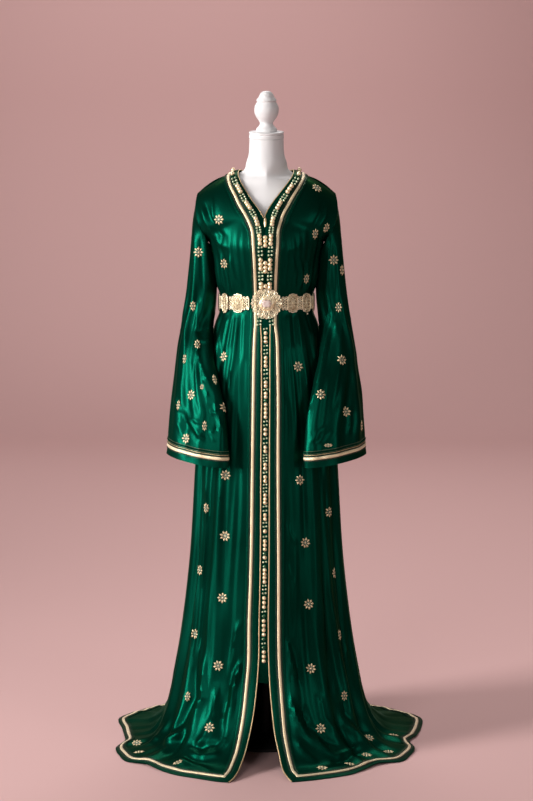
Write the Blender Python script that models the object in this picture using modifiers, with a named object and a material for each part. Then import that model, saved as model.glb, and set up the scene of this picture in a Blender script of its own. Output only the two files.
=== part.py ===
"""A floor-length kaftan worn by a limbless dress form, in metres, +Z up, the front towards -Y.

Every cloth piece is a wall lofted through the rows of its own small table: the tables give the
outline from the front, the side and the top, and the folds are lifts of the wall along those rows.
Left and right are the wearer's: the wearer's left is +X.
"""

import math
from collections import namedtuple

import bmesh
import bpy
import numpy as np

CLOTH = 0.0018  # thickness of the satin wall
BAND = 0.0010  # thickness of the sewn-on band
BRAID = 0.0012  # thickness of the woven metal braid
GAP = 0.0003  # clearance between pieces that touch
SEAM = 0.0002  # each panel stops this far from its seam
BRAID_WIDTH = 0.009
BAND_MARGIN = 0.008  # band beyond the braid
BEAD = 0.0092  # diameter of a knotted button
BEAD_PITCH = 0.0108
BEAD_SIDES = 4
SMOOTH_ANGLE = math.radians(40)  # faces closer than this are shaded as one surface
BEAD_FLAT = BEAD / 2 * math.cos(math.pi / BEAD_SIDES)  # from the middle to a flat side

# Rows of the body below the armholes, from the armpits down to the hem on the floor.
# z and depth are given at the front, the side and the back; centre is where the opening's middle
# line runs, edge is half the opening, braid is from that edge to the middle of the braid,
# fold scales the fold tables, and lobe scales the hem's outline.
Row = namedtuple("Row", "name z_front z_side z_back front side back centre edge braid fold lobe")
BODY_ROWS = [
    Row("armpit", 1.250, 1.250, 1.250, 0.1275, 0.1415, 0.0960, -0.003, 0.0058, 0.0235, 0.15, 0),
    Row("bust", 1.212, 1.212, 1.212, 0.1245, 0.1300, 0.0955, -0.003, 0.0058, 0.0210, 0.30, 0),
    Row("ribs", 1.172, 1.172, 1.172, 0.1145, 0.1265, 0.0945, -0.003, 0.0056, 0.0195, 0.45, 0),
    Row("blouse", 1.146, 1.146, 1.146, 0.1050, 0.1235, 0.0930, -0.003, 0.0054, 0.0188, 0.45, 0),
    Row("belt_high", 1.127, 1.127, 1.127, 0.0995, 0.1165, 0.0880, -0.003, 0.0050, 0.0188, 0.12, 0),
    Row("waist", 1.104, 1.104, 1.104, 0.0980, 0.1140, 0.0870, -0.003, 0.0050, 0.0188, 0.06, 0),
    Row("belt_low", 1.080, 1.080, 1.080, 0.0995, 0.1165, 0.0890, -0.003, 0.0080, 0.0170, 0.12, 0),
    Row("flare", 1.058, 1.058, 1.058, 0.1045, 0.1245, 0.0990, -0.003, 0.0105, 0.0150, 0.35, 0),
    Row("high_hip", 1.018, 1.018, 1.018, 0.1150, 0.1370, 0.1140, -0.002, 0.0105, 0.0165, 0.45, 0),
    Row("hip", 0.955, 0.955, 0.955, 0.1270, 0.1510, 0.1330, -0.002, 0.0103, 0.0185, 0.55, 0),
    Row("seat", 0.875, 0.875, 0.875, 0.1360, 0.1620, 0.1500, -0.002, 0.0100, 0.0200, 0.65, 0),
    Row("thigh", 0.765, 0.765, 0.765, 0.1450, 0.1730, 0.1645, -0.003, 0.0103, 0.0202, 0.75, 0),
    Row("knee", 0.440, 0.440, 0.440, 0.1740, 0.1955, 0.1955, -0.005, 0.0108, 0.0230, 1.05, 0),
    Row("shin", 0.330, 0.330, 0.330, 0.1860, 0.2085, 0.2105, -0.007, 0.0112, 0.0245, 1.20, 0),
    Row("opening", 0.240, 0.240, 0.240, 0.2000, 0.2220, 0.2270, -0.007, 0.0125, 0.0245, 1.30, 0),
    Row("calf", 0.180, 0.182, 0.182, 0.2150, 0.2330, 0.2420, -0.008, 0.0165, 0.0250, 1.40, 0),
    Row("ankle", 0.126, 0.128, 0.128, 0.2360, 0.2440, 0.2600, -0.009, 0.0225, 0.0240, 1.50, 0.05),
    Row("instep", 0.080, 0.082, 0.082, 0.2640, 0.2580, 0.2800, -0.011, 0.0305, 0.0225, 1.40, 0.10),
    Row("toe", 0.0455, 0.043, 0.045, 0.2950, 0.2790, 0.3010, -0.012, 0.0400, 0.0210, 1.10, 0.25),
    Row("pool", 0.0240, 0.018, 0.020, 0.3200, 0.3060, 0.3270, -0.014, 0.0475, 0.0215, 0.60, 0.50),
    Row("band_top", 0.0115, 0.0075, 0.008, 0.3430, 0.3470, 0.3620, -0.015, 0.0560, 0.0220, 0.20, 0.80),
    Row("braid_top", 0.0092, 0.0055, 0.006, 0.3510, 0.3550, 0.3700, -0.015, 0.0590, 0.0230, 0.10, 0.85),
    Row("braid_foot", 0.0060, 0.0040, 0.004, 0.3600, 0.3640, 0.3790, -0.015, 0.0630, 0.0240, 0.05, 0.90),
    Row("hem", 0.0018, 0.0018, 0.0018, 0.3800, 0.3850, 0.4000, -0.016, 0.0720, 0.0250, 0.00, 1.00),
]

# Rows of the yoke, from the shoulder seam down. neck and arm are the row's two ends, bulge is how
# far its middle stands out from the straight line between them, and centre and braid are as above.
YokeRow = namedtuple("YokeRow", "name neck arm bulge centre braid fold")
FRONT_YOKE = [
    YokeRow("shoulder", (0.0670, 0.006, 1.4280), (0.1690, 0.004, 1.3720), (0.0, 0.0, 0.006), 0.0, 0.027, 0),
    YokeRow("yoke_1", (0.0670, -0.030, 1.4160), (0.1725, -0.020, 1.3550), (0.002, -0.004, 0.008), -0.004, 0.027, 0),
    YokeRow("yoke_2", (0.0585, -0.050, 1.3980), (0.1735, -0.037, 1.3330), (0.003, -0.010, 0.008), -0.007, 0.028, 0),
    YokeRow("yoke_3", (0.0425, -0.067, 1.3745), (0.1700, -0.049, 1.3100), (0.006, -0.015, 0.006), -0.009, 0.0285, 0),
    YokeRow("yoke_4", (0.0245, -0.083, 1.3490), (0.1635, -0.052, 1.2900), (0.012, -0.018, 0.003), -0.010, 0.029, 0.05),
    YokeRow("yoke_5", (0.0100, -0.096, 1.3275), (0.1560, -0.045, 1.2735), (0.019, -0.020, 0.001), -0.008, 0.029, 0.05),
    YokeRow("vee", (0.0060, -0.105, 1.3110), (0.1490, -0.028, 1.2605), (0.024, -0.022, 0.0), -0.006, 0.0240, 0.1),
    YokeRow("chest", (0.0058, -0.118, 1.2820), (0.1445, -0.013, 1.2535), (0.026, -0.025, 0.0), -0.004, 0.0185, 0.1),
]
BACK_YOKE = [
    YokeRow("shoulder", (0.0670, 0.006, 1.4280), (0.1690, 0.004, 1.3720), (0.0, 0.0, 0.006), 0, 0, 0),
    YokeRow("yoke_1", (0.0650, 0.0228, 1.4160), (0.1725, 0.022, 1.3550), (0.002, 0.004, 0.008), 0, 0, 0),
    YokeRow("yoke_2", (0.0640, 0.0300, 1.4107), (0.1735, 0.038, 1.3330), (0.003, 0.009, 0.007), 0, 0, 0),
    YokeRow("yoke_3", (0.0630, 0.0365, 1.4060), (0.1700, 0.048, 1.3100), (0.006, 0.013, 0.005), 0, 0, 0),
    YokeRow("yoke_4", (0.0520, 0.059, 1.3710), (0.1635, 0.050, 1.2900), (0.012, 0.015, 0.003), 0, 0, 0),
    YokeRow("yoke_5", (0.0450, 0.074, 1.3330), (0.1560, 0.043, 1.2735), (0.015, 0.014, 0.001), 0, 0, 0),
    YokeRow("vee", (0.0420, 0.083, 1.3030), (0.1490, 0.028, 1.2605), (0.016, 0.015, 0.0), 0, 0, 0),
    YokeRow("chest", (0.0400, 0.089, 1.2760), (0.1445, 0.013, 1.2535), (0.014, 0.014, 0.0), 0, 0, 0),
]
BACK_NECK = [  # depth and height of the back panel's middle on each yoke row
    (0.0560, 1.4180),
    (0.0650, 1.3995),
    (0.0690, 1.3910),
    (0.0725, 1.3835),
    (0.0800, 1.3570),
    (0.0860, 1.3280),
    (0.0905, 1.3010),
    (0.0935, 1.2750),
]

# Fold tables: how far each station of a row is lifted out of the plain outline at fold scale 1.
# A front panel's stations run from the band to the side seam, the back's from its middle to a side.
FRONT_SHARES = [0.0, 0.11, 0.22, 0.33, 0.44, 0.55, 0.66, 0.77, 0.885, 1.0]
RIGHT_FOLDS = [0.0, -0.001, 0.001, 0.006, -0.004, 0.006, -0.006, 0.004, -0.005, 0.0]
LEFT_FOLDS = [0.0, 0.001, -0.001, 0.003, -0.003, 0.004, -0.005, 0.006, -0.005, 0.0]
BACK_FOLDS = [0.006, -0.005, 0.004, -0.002, 0.005, -0.006, 0.005, -0.005, 0.0]
BACK_STATIONS = len(BACK_FOLDS) - 1
NECK_STATION = 2  # the back panel's station at the neck point
BACK_BAND = (0.021, 0.030, 0.038)  # braid and band lines beyond the neck point, on the shoulder

# The hem's outline on the floor: angle from the front, how far it swings out on the wearer's right
# and left, and how far it lifts.
HEM_LOBES = [
    (0, 0.004, 0.003, 0.000),
    (13, 0.008, 0.004, 0.000),
    (24, 0.000, 0.000, 0.000),
    (33, 0.000, 0.000, 0.000),
    (41, -0.004, -0.010, 0.002),
    (49, -0.008, -0.015, 0.004),
    (57, 0.013, 0.013, 0.000),
    (65, 0.008, 0.008, 0.000),
    (73, 0.002, 0.002, 0.002),
    (81.5, -0.028, -0.022, 0.004),
    (90, -0.024, -0.004, 0.003),
    (101, -0.006, 0.022, 0.000),
    (112.5, 0.034, 0.053, 0.000),
    (124, 0.021, 0.030, 0.003),
    (135, 0.021, 0.021, 0.000),
    (146, 0.010, 0.012, 0.005),
    (157, 0.012, 0.010, 0.000),
    (168, 0.004, 0.004, 0.004),
    (180, 0.000, 0.000, 0.000),
]

# Rows of a sleeve: its outer and inner edges, and how far it bulges to the front and to the back.
SleeveRow = namedtuple("SleeveRow", "name outer inner front back fold")
SLEEVE_ROWS = [
    SleeveRow("head", (0.1800, 0.003, 1.314), (0.1450, 0.003, 1.228), 0.050, 0.046, 0.1),
    SleeveRow("biceps", (0.1848, 0.003, 1.264), (0.1350, -0.005, 1.190), 0.046, 0.040, 0.2),
    SleeveRow("arm", (0.1898, 0.002, 1.206), (0.1300, -0.010, 1.152), 0.043, 0.038, 0.4),
    SleeveRow("waist", (0.1960, 0.000, 1.140), (0.1250, -0.010, 1.106), 0.039, 0.036, 0.6),
    SleeveRow("elbow", (0.2030, -0.003, 1.068), (0.1330, -0.030, 1.050), 0.037, 0.025, 0.8),
    SleeveRow("forearm", (0.2115, -0.008, 0.998), (0.1320, -0.077, 0.986), 0.038, 0.013, 0.7),
    SleeveRow("swing", (0.2195, -0.016, 0.930), (0.1170, -0.118, 0.918), 0.041, 0.013, 0.8),
    SleeveRow("wide", (0.2275, -0.026, 0.866), (0.1030, -0.140, 0.850), 0.045, 0.014, 0.9),
    SleeveRow("mouth", (0.2325, -0.034, 0.812), (0.0945, -0.154, 0.790), 0.048, 0.015, 0.9),
    SleeveRow("band_top", (0.2355, -0.039, 0.772), (0.0915, -0.162, 0.748), 0.050, 0.016, 0.5),
    SleeveRow("braid_top", (0.2362, -0.040, 0.762), (0.0910, -0.163, 0.738), 0.050, 0.016, 0.3),
    SleeveRow("braid_foot", (0.2372, -0.041, 0.7525), (0.0908, -0.164, 0.728), 0.050, 0.016, 0.2),
    SleeveRow("cuff", (0.2395, -0.043, 0.736), (0.0915, -0.165, 0.711), 0.050, 0.016, 0.1),
]
SLEEVE_FOLDS = [0.0, 0.003, -0.003, 0.003, -0.004, 0.003, -0.003, 0.003]  # repeats round the ring

# The dress form from the neck down; power 2 is an oval section, lower is more pointed at the sides.
FormRow = namedtuple("FormRow", "z half front back power")
FORM_ROWS = [
    FormRow(1.5050, 0.0420, 0.0420, 0.0420, 2.0),
    FormRow(1.4860, 0.0424, 0.0424, 0.0424, 2.0),
    FormRow(1.4660, 0.0440, 0.0445, 0.0430, 2.0),
    FormRow(1.4460, 0.0500, 0.0490, 0.0460, 1.9),
    FormRow(1.4285, 0.0550, 0.0510, 0.0460, 1.6),
    FormRow(1.4155, 0.0800, 0.0530, 0.0430, 1.2),
    FormRow(1.4024, 0.1165, 0.0590, 0.0520, 1.3),
    FormRow(1.3890, 0.1385, 0.0630, 0.0540, 1.4),
    FormRow(1.3740, 0.1570, 0.0680, 0.0560, 1.6),
    FormRow(1.3480, 0.1590, 0.0760, 0.0600, 1.8),
    FormRow(1.3180, 0.1540, 0.0850, 0.0660, 2.0),
    FormRow(1.2830, 0.1420, 0.0970, 0.0740, 2.0),
    FormRow(1.2450, 0.1290, 0.1100, 0.0800, 2.0),
    FormRow(1.2050, 0.1220, 0.1110, 0.0810, 2.0),
    FormRow(1.1650, 0.1140, 0.1020, 0.0790, 2.0),
    FormRow(1.1050, 0.1060, 0.0860, 0.0760, 2.0),
    FormRow(1.0600, 0.1130, 0.0880, 0.0800, 2.0),
    FormRow(1.0000, 0.1280, 0.0960, 0.0920, 2.0),
    FormRow(0.9300, 0.1390, 0.1040, 0.1040, 2.0),
    FormRow(0.8600, 0.1420, 0.1060, 0.1060, 2.0),
    FormRow(0.8000, 0.1380, 0.1020, 0.1020, 2.0),
]
FORM_SIDES = 20
POLE_RADIUS = 0.0125
BASE_RADIUS = 0.135
BASE_THICK = 0.012
CAP_TILT = math.radians(9)  # the neck's top leans towards the front
CAP_PROFILE = [(0.0425, -0.016), (0.0425, -0.007), (0.0405, -0.006), (0.0425, -0.004), (0.0420, 0.0)]
FINIAL_PROFILE = [  # radius and height above the cap, bottom first
    (0.0255, 0.0000),
    (0.0255, 0.0055),
    (0.0190, 0.0135),
    (0.0160, 0.0200),
    (0.0182, 0.0250),
    (0.0262, 0.0370),
    (0.0298, 0.0490),
    (0.0292, 0.0600),
    (0.0245, 0.0700),
    (0.0230, 0.0725),
    (0.0250, 0.0760),
    (0.0225, 0.0800),
    (0.0196, 0.0830),
    (0.0170, 0.0895),
    (0.0095, 0.0970),
    (0.0001, 0.0990),
]

# The belt: a round medallion, and plates joined by openwork links round the waist.
BELT_Z = 1.104
MEDALLION_RADIUS = 0.0375
MEDALLION_THICK = 0.0020
PETALS = 12
STONE_RADIUS = 0.0105
PLATE_WIDTH = 0.0300
PLATE_HEIGHT = 0.0440
PLATE_THICK = 0.0016
LINK_WIDTH = 0.0130
LINK_HEIGHT = 0.0290
LINK_HOLE = 0.0056
BELT_JOINT = 0.0012  # space between neighbouring plates and links


def material(name, colour, roughness, metallic=0.0):
    made = bpy.data.materials.new(name)
    made.use_nodes = True
    shader = made.node_tree.nodes["Principled BSDF"]
    shader.inputs["Base Color"].default_value = (*colour, 1.0)
    shader.inputs["Roughness"].default_value = roughness
    shader.inputs["Metallic"].default_value = metallic
    return made


def clear_scene():
    for thing in list(bpy.data.objects):
        bpy.data.objects.remove(thing)


def lay_in(collection, name, mesh, finish):
    mesh.shade_smooth()
    mesh.set_sharp_from_angle(angle=SMOOTH_ANGLE)
    thing = bpy.data.objects.new(name, mesh)
    mesh.materials.append(finish)
    collection.objects.link(thing)
    return thing


def unit(vectors):
    return vectors / np.maximum(np.linalg.norm(vectors, axis=-1, keepdims=True), 1e-12)


# Points of the cloth. A grid is an array of rows by stations by x, y and z, on the outer face.


def swept(table, angle, column):
    return float(np.interp(angle, [row[0] for row in table], [row[column] for row in table]))


def body_point(row, angle, lift):
    """A point of a body row; angle is in degrees from the middle of the front, towards +X."""
    turn = math.radians(abs(angle))
    ahead = math.cos(turn)
    depth, height = (row.front, row.z_front) if ahead >= 0 else (row.back, row.z_back)
    out = np.array([row.side * math.sin(turn), -depth * ahead])
    outward = out / np.linalg.norm(out)
    share = ahead * ahead
    z = height * share + row.z_side * (1 - share)
    swing = swept(HEM_LOBES, abs(angle), 2 if angle > 0 else 1)
    out = out + outward * (lift * row.fold + swing * row.lobe)
    z += swept(HEM_LOBES, abs(angle), 3) * row.lobe
    x = math.copysign(out[0], angle) + row.centre * max(0.0, 1 - abs(angle) / 90)
    return (x, out[1], z)


def opening_angles(row):
    """Angles of the opening's edge, the braid's two sides and the band's outer line."""
    middle = row.edge + row.braid
    lines = (row.edge, middle - BRAID_WIDTH / 2, middle + BRAID_WIDTH / 2)
    lines += (middle + BRAID_WIDTH / 2 + BAND_MARGIN,)
    return [math.degrees(math.asin(line / row.side)) for line in lines]


def yoke_point(row, share, lift):
    """A point of a yoke row, at a share of the way from the neck to the armhole."""
    neck, arm, bulge = (np.array(part) for part in (row.neck, row.arm, row.bulge))
    point = neck + (arm - neck) * share + 4 * share * (1 - share) * bulge
    outward = bulge / np.linalg.norm(bulge)
    return point + outward * lift * row.fold


def yoke_shares(row):
    """Shares of a front yoke row at its edge, the braid's two sides and the band's outer line."""
    length = np.linalg.norm(np.array(row.arm) - np.array(row.neck))
    half = BRAID_WIDTH / 2 * row.braid / FRONT_YOKE[0].braid
    margin = BAND_MARGIN * row.braid / FRONT_YOKE[0].braid
    return [line / length for line in (0.0, row.braid - half, row.braid + half, row.braid + half + margin)]


def front_grid(side):
    """The outer face of a front panel; side is 1 for the wearer's left and -1 for the right."""
    folds = LEFT_FOLDS if side > 0 else RIGHT_FOLDS
    rows = []
    for row in FRONT_YOKE:
        lines = yoke_shares(row)
        points = [yoke_point(row, share, 0.0) for share in lines[:3]]
        for share, lift in zip(FRONT_SHARES, folds):
            points.append(yoke_point(row, lines[3] + (1 - lines[3]) * share, lift))
        arm = row.arm[0]
        rows.append([(side * x + row.centre * (1 - x / arm), y, z) for x, y, z in points])
    for row in BODY_ROWS:
        lines = opening_angles(row)
        points = [body_point(row, side * angle, 0.0) for angle in lines[:3]]
        for share, lift in zip(FRONT_SHARES, folds):
            points.append(body_point(row, side * (lines[3] + (90 - lines[3]) * share), lift))
        rows.append(points)
    return np.array(rows)


def back_yoke_halves():
    """Half of each back yoke row, from the panel's middle to the armhole.

    Beyond the neck point the first three rows and stations lie on arcs round it, which is how the
    band turns from the back of the neck up to the shoulder.
    """
    seam = BACK_YOKE[0]
    corner = np.array(seam.neck)
    length = np.linalg.norm(np.array(seam.arm) - corner)
    turn = len(BACK_BAND)
    on_seam = [yoke_point(seam, line / length, 0.0) for line in BACK_BAND]
    halves = []
    for number, (row, middle) in enumerate(zip(BACK_YOKE, BACK_NECK)):
        half = [(0.0, *middle)]
        for step in range(1, NECK_STATION + 1):
            share = step / NECK_STATION
            y = middle[0] + (row.neck[1] - middle[0]) * share**2
            z = middle[1] + (row.neck[2] - middle[1]) * share**2
            half.append((row.neck[0] * share, y, z))
        plain = BACK_STATIONS - NECK_STATION
        start = row
        if number <= turn:
            for step in range(1, turn + 1):
                arc = max(step, number) - 1
                if number <= step:
                    angle = math.pi / 4 * number / step
                else:
                    angle = math.pi / 2 - math.pi / 4 * step / number
                down = np.array(BACK_YOKE[arc + 1].neck) - corner
                half.append(corner + (on_seam[arc] - corner) * math.cos(angle) + down * math.sin(angle))
            start = row._replace(neck=tuple(half[-1]))
            plain -= turn
        for step in range(1, plain + 1):
            half.append(yoke_point(start, step / plain, 0.0))
        halves.append([tuple(float(value) for value in point) for point in half])
    return halves


def back_grid():
    """The outer face of the back panel, from the wearer's right side to the left."""
    rows = []
    for half in back_yoke_halves():
        rows.append([(-x, y, z) for x, y, z in reversed(half)] + half[1:])
    for row in BODY_ROWS:
        angles = [180 - 90 * step / BACK_STATIONS for step in range(BACK_STATIONS + 1)]
        left = [body_point(row, angle, lift) for angle, lift in zip(angles, BACK_FOLDS)]
        right = [body_point(row, -angle, lift) for angle, lift in zip(angles, BACK_FOLDS)]
        rows.append(right[:0:-1] + left)
    return np.array(rows)


def armhole_ring(front, back, side):
    """The armhole's edge, from the shoulder round the front to the armpit and up the back."""
    yoke = len(FRONT_YOKE)
    column = -1 if side > 0 else 0
    down = [front[row, -1] for row in range(yoke + 1)]
    up = [back[row, column] for row in range(yoke - 1, 0, -1)]
    return np.array(down + up)


def sleeve_grid(ring, side):
    """The outer face of a sleeve: the armhole's ring, then one ring for each row of the table."""
    count = len(ring)
    start = ring + np.array([side * 0.0007, 0.0, -0.0002])
    rows = [start]
    for row in SLEEVE_ROWS:
        outer, inner = np.array(row.outer), np.array(row.inner)
        middle, reach = (outer + inner) / 2, (outer - inner) / 2
        forward = unit(np.array([reach[1], -reach[0], 0.0]))
        points = []
        for step in range(count):
            turn = 2 * math.pi * step / count
            bulge = row.front if math.sin(turn) >= 0 else row.back
            spoke = reach * math.cos(turn) + forward * bulge * math.sin(turn)
            lift = SLEEVE_FOLDS[step % len(SLEEVE_FOLDS)] * row.fold
            points.append(middle + spoke + unit(spoke) * lift)
        rows.append([(side * x, y, z) for x, y, z in points])
    return np.array(rows)


def normals_of(grid, round_ring=False):
    """Outward normals of a grid, from the points beside each point."""
    if round_ring:
        across = np.roll(grid, -1, axis=1) - np.roll(grid, 1, axis=1)
    else:
        across = np.gradient(grid, axis=1)
    down = np.gradient(grid, axis=0)
    return unit(np.cross(across, down))


def outward(grid, normals, centre=(0.0, 0.0)):
    """The same normals, turned round if they point towards the axis."""
    radial = grid[:, :, :2] - np.array(centre)
    return normals if (radial * normals[:, :, :2]).sum() > 0 else -normals


def share_normals(first, first_at, second, second_at):
    """Gives both sides of a seam the same normals."""
    mean = unit(first[first_at] + second[second_at])
    first[first_at] = mean
    second[second_at] = mean


def draw_back(grid, axis, at_end):
    """Stops a panel just short of its seam."""
    edge, beside = (-1, -2) if at_end else (0, 1)
    here = [slice(None)] * 3
    here[axis] = edge
    near = [slice(None)] * 3
    near[axis] = beside
    grid[tuple(here)] += unit(grid[tuple(near)] - grid[tuple(here)]) * SEAM


# Solids


def wall(collection, name, outer, inner, finish, cells=None, round_ring=False):
    """A closed wall between two faces with the same stations, over the chosen cells."""
    rows, stations = outer.shape[:2]
    columns = stations if round_ring else stations - 1
    if cells is None:
        cells = [(row, column) for row in range(rows - 1) for column in range(columns)]
    chosen = set(cells)
    build = bmesh.new()
    made = {}

    def corner(face, row, column):
        key = (face, row, column % stations)
        if key not in made:
            made[key] = build.verts.new((outer if face else inner)[row, column % stations])
        return made[key]

    def both_faces(row, column):
        a, b = (row, column), (row, column + 1)
        c, d = (row + 1, column + 1), (row + 1, column)
        for trio in ((a, b, c), (a, c, d)):
            build.faces.new([corner(1, *point) for point in trio])
            build.faces.new([corner(0, *point) for point in reversed(trio)])

    def rim(start, end):
        build.faces.new([corner(1, *end), corner(1, *start), corner(0, *start)])
        build.faces.new([corner(1, *end), corner(0, *start), corner(0, *end)])

    for row, column in cells:
        both_faces(row, column)
        right = (column + 1) % columns if round_ring else column + 1
        left = (column - 1) % columns if round_ring else column - 1
        if (row - 1, column) not in chosen:
            rim((row, column), (row, column + 1))
        if (row + 1, column) not in chosen:
            rim((row + 1, column + 1), (row + 1, column))
        if (row, left) not in chosen:
            rim((row + 1, column), (row, column))
        if (row, right) not in chosen:
            rim((row, column + 1), (row + 1, column + 1))
    bmesh.ops.recalc_face_normals(build, faces=build.faces)
    mesh = bpy.data.meshes.new(name)
    build.to_mesh(mesh)
    build.free()
    return lay_in(collection, name, mesh, finish)


def cloth_faces(grid, normals):
    """The cloth's two faces, kept above the floor."""
    outer = grid.copy()
    outer[:, :, 2] = np.maximum(outer[:, :, 2], CLOTH)
    inner = outer - normals * CLOTH
    inner[:, :, 2] = np.maximum(inner[:, :, 2], 0.0)
    return outer, inner


def on_cloth(outer, normals, low, high):
    """The two faces of what is sewn on the cloth, between two heights above it."""
    return outer + normals * high, outer + normals * low


def bead_string(collection, name, path, facing, finish):
    """A row of knotted buttons sewn along a path, as one body swelling at each knot."""
    lengths = np.concatenate([[0], np.cumsum(np.linalg.norm(np.diff(path, axis=0), axis=1))])
    count = int(lengths[-1] // BEAD_PITCH)
    at = np.linspace(0, lengths[-1], 2 * count + 1)
    centres = np.stack([np.interp(at, lengths, path[:, axis]) for axis in range(3)], axis=1)
    along = unit(np.gradient(centres, axis=0))
    out = np.stack([np.interp(at, lengths, facing[:, axis]) for axis in range(3)], axis=1)
    aside = unit(np.cross(along, out))
    ahead = unit(np.cross(aside, along))
    rings = []
    for index, centre in enumerate(centres):
        radius = BEAD / 2 if index % 2 else BEAD * 0.2
        turns = [2 * math.pi * (side + 0.5) / BEAD_SIDES for side in range(BEAD_SIDES)]
        ring = [
            centre + radius * (math.cos(turn) * aside[index] + math.sin(turn) * ahead[index])
            for turn in turns
        ]
        rings.append(ring)
    build = bmesh.new()
    loops = [[build.verts.new(point) for point in ring] for ring in rings]
    for upper, lower in zip(loops, loops[1:]):
        for side in range(BEAD_SIDES):
            after = (side + 1) % BEAD_SIDES
            build.faces.new([upper[side], upper[after], lower[after], lower[side]])
    build.faces.new(loops[0])
    build.faces.new(loops[-1])
    bmesh.ops.recalc_face_normals(build, faces=build.faces)
    mesh = bpy.data.meshes.new(name)
    build.to_mesh(mesh)
    build.free()
    return lay_in(collection, name, mesh, finish)


def turned(collection, name, profile, finish, sides=24):
    """A turned piece: a profile of radius and height, bottom first, with a Screw modifier."""
    mesh = bpy.data.meshes.new(name)
    points = [(0.0, 0.0, profile[-1][1])] + [(r, 0.0, z) for r, z in reversed(profile)]
    points.append((0.0, 0.0, profile[0][1]))
    mesh.from_pydata(points, [(index, index + 1) for index in range(len(points) - 1)], [])
    thing = lay_in(collection, name, mesh, finish)
    screw = thing.modifiers.new("turn", "SCREW")
    screw.steps = screw.render_steps = sides
    screw.use_merge_vertices = True
    screw.merge_threshold = 0.00001
    return thing


def outline_piece(collection, name, outline, holes, thickness, finish):
    """A flat plate with holes: 2D curve splines, extruded, then made a mesh."""
    curve = bpy.data.curves.new(name, "CURVE")
    curve.dimensions = "2D"
    curve.fill_mode = "BOTH"
    curve.extrude = thickness / 2
    for loop in [outline, *holes]:
        spline = curve.splines.new("POLY")
        spline.points.add(len(loop) - 1)
        for point, (x, y) in zip(spline.points, loop):
            point.co = (x, y, 0.0, 1.0)
        spline.use_cyclic_u = True
    flat = bpy.data.objects.new(name + "_curve", curve)
    collection.objects.link(flat)
    bpy.context.view_layer.update()
    mesh = bpy.data.meshes.new_from_object(flat.evaluated_get(bpy.context.evaluated_depsgraph_get()))
    bpy.data.objects.remove(flat)
    build = bmesh.new()
    build.from_mesh(mesh)
    bmesh.ops.remove_doubles(build, verts=build.verts, dist=1e-6)
    bmesh.ops.recalc_face_normals(build, faces=build.faces)
    build.to_mesh(mesh)
    build.free()
    mesh.materials.clear()
    return lay_in(collection, name, mesh, finish)


def circle(radius, sides, centre=(0.0, 0.0), turn=0.0):
    angles = [turn + 2 * math.pi * side / sides for side in range(sides)]
    return [(centre[0] + radius * math.cos(a), centre[1] + radius * math.sin(a)) for a in angles]


# The pieces of the kaftan


def armhole_places(count, sign):
    """Where each point of the armhole's ring lies: its panel, row and station."""
    yoke = len(FRONT_YOKE)
    front = [("front", row, -1) for row in range(yoke + 1)]
    column = -1 if sign > 0 else 0
    return front + [("back", row, column) for row in range(yoke - 1, yoke - 1 - (count - yoke - 1), -1)]


def make_cloth(collection, satin):
    """Front panels, back and sleeves. Returns each one's outer face and normals."""
    yoke = len(FRONT_YOKE)
    grids = {"front_left": front_grid(1), "front_right": front_grid(-1), "back": back_grid()}
    normals = {name: outward(grid, normals_of(grid)) for name, grid in grids.items()}
    body = slice(yoke, None)
    for side, sign in SIDES:
        ring = armhole_ring(grids[f"front_{side}"], grids["back"], sign)
        grid = sleeve_grid(ring, sign)
        around = normals_of(grid, round_ring=True)
        if ((grid - grid.mean(axis=1, keepdims=True)) * around).sum() < 0:
            around = -around
        grids[f"sleeve_{side}"], normals[f"sleeve_{side}"] = grid, around
        column = -1 if sign > 0 else 0
        share_normals(normals[f"front_{side}"], (body, -1), normals["back"], (body, column))
        for step, (panel, row, station) in enumerate(armhole_places(len(ring), sign)):
            panel = f"front_{side}" if panel == "front" else panel
            if normals[panel][row, station] @ around[0, step] > 0.2:
                share_normals(normals[panel], (row, station), around, (0, step))
        for step in range(BACK_STATIONS - NECK_STATION + 1):
            column = (2 * BACK_STATIONS - step) if sign > 0 else step
            nearest = np.linalg.norm(grids[f"front_{side}"][0] - grids["back"][0, column], axis=1).argmin()
            normals["back"][0, column] = normals[f"front_{side}"][0, nearest]
    faces = {}
    for name, grid in grids.items():
        if not name.startswith("sleeve"):
            draw_back(grid, 1, True)
            draw_back(grid, 0, False)
        if name == "back":
            draw_back(grid, 1, False)
        outer, inner = cloth_faces(grid, normals[name])
        wall(collection, name, outer, inner, satin, round_ring=name.startswith("sleeve"))
        faces[name] = (outer, normals[name])
    return faces


def row_index(name):
    names = [row.name for row in FRONT_YOKE] + [row.name for row in BODY_ROWS]
    return names.index(name)


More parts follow.
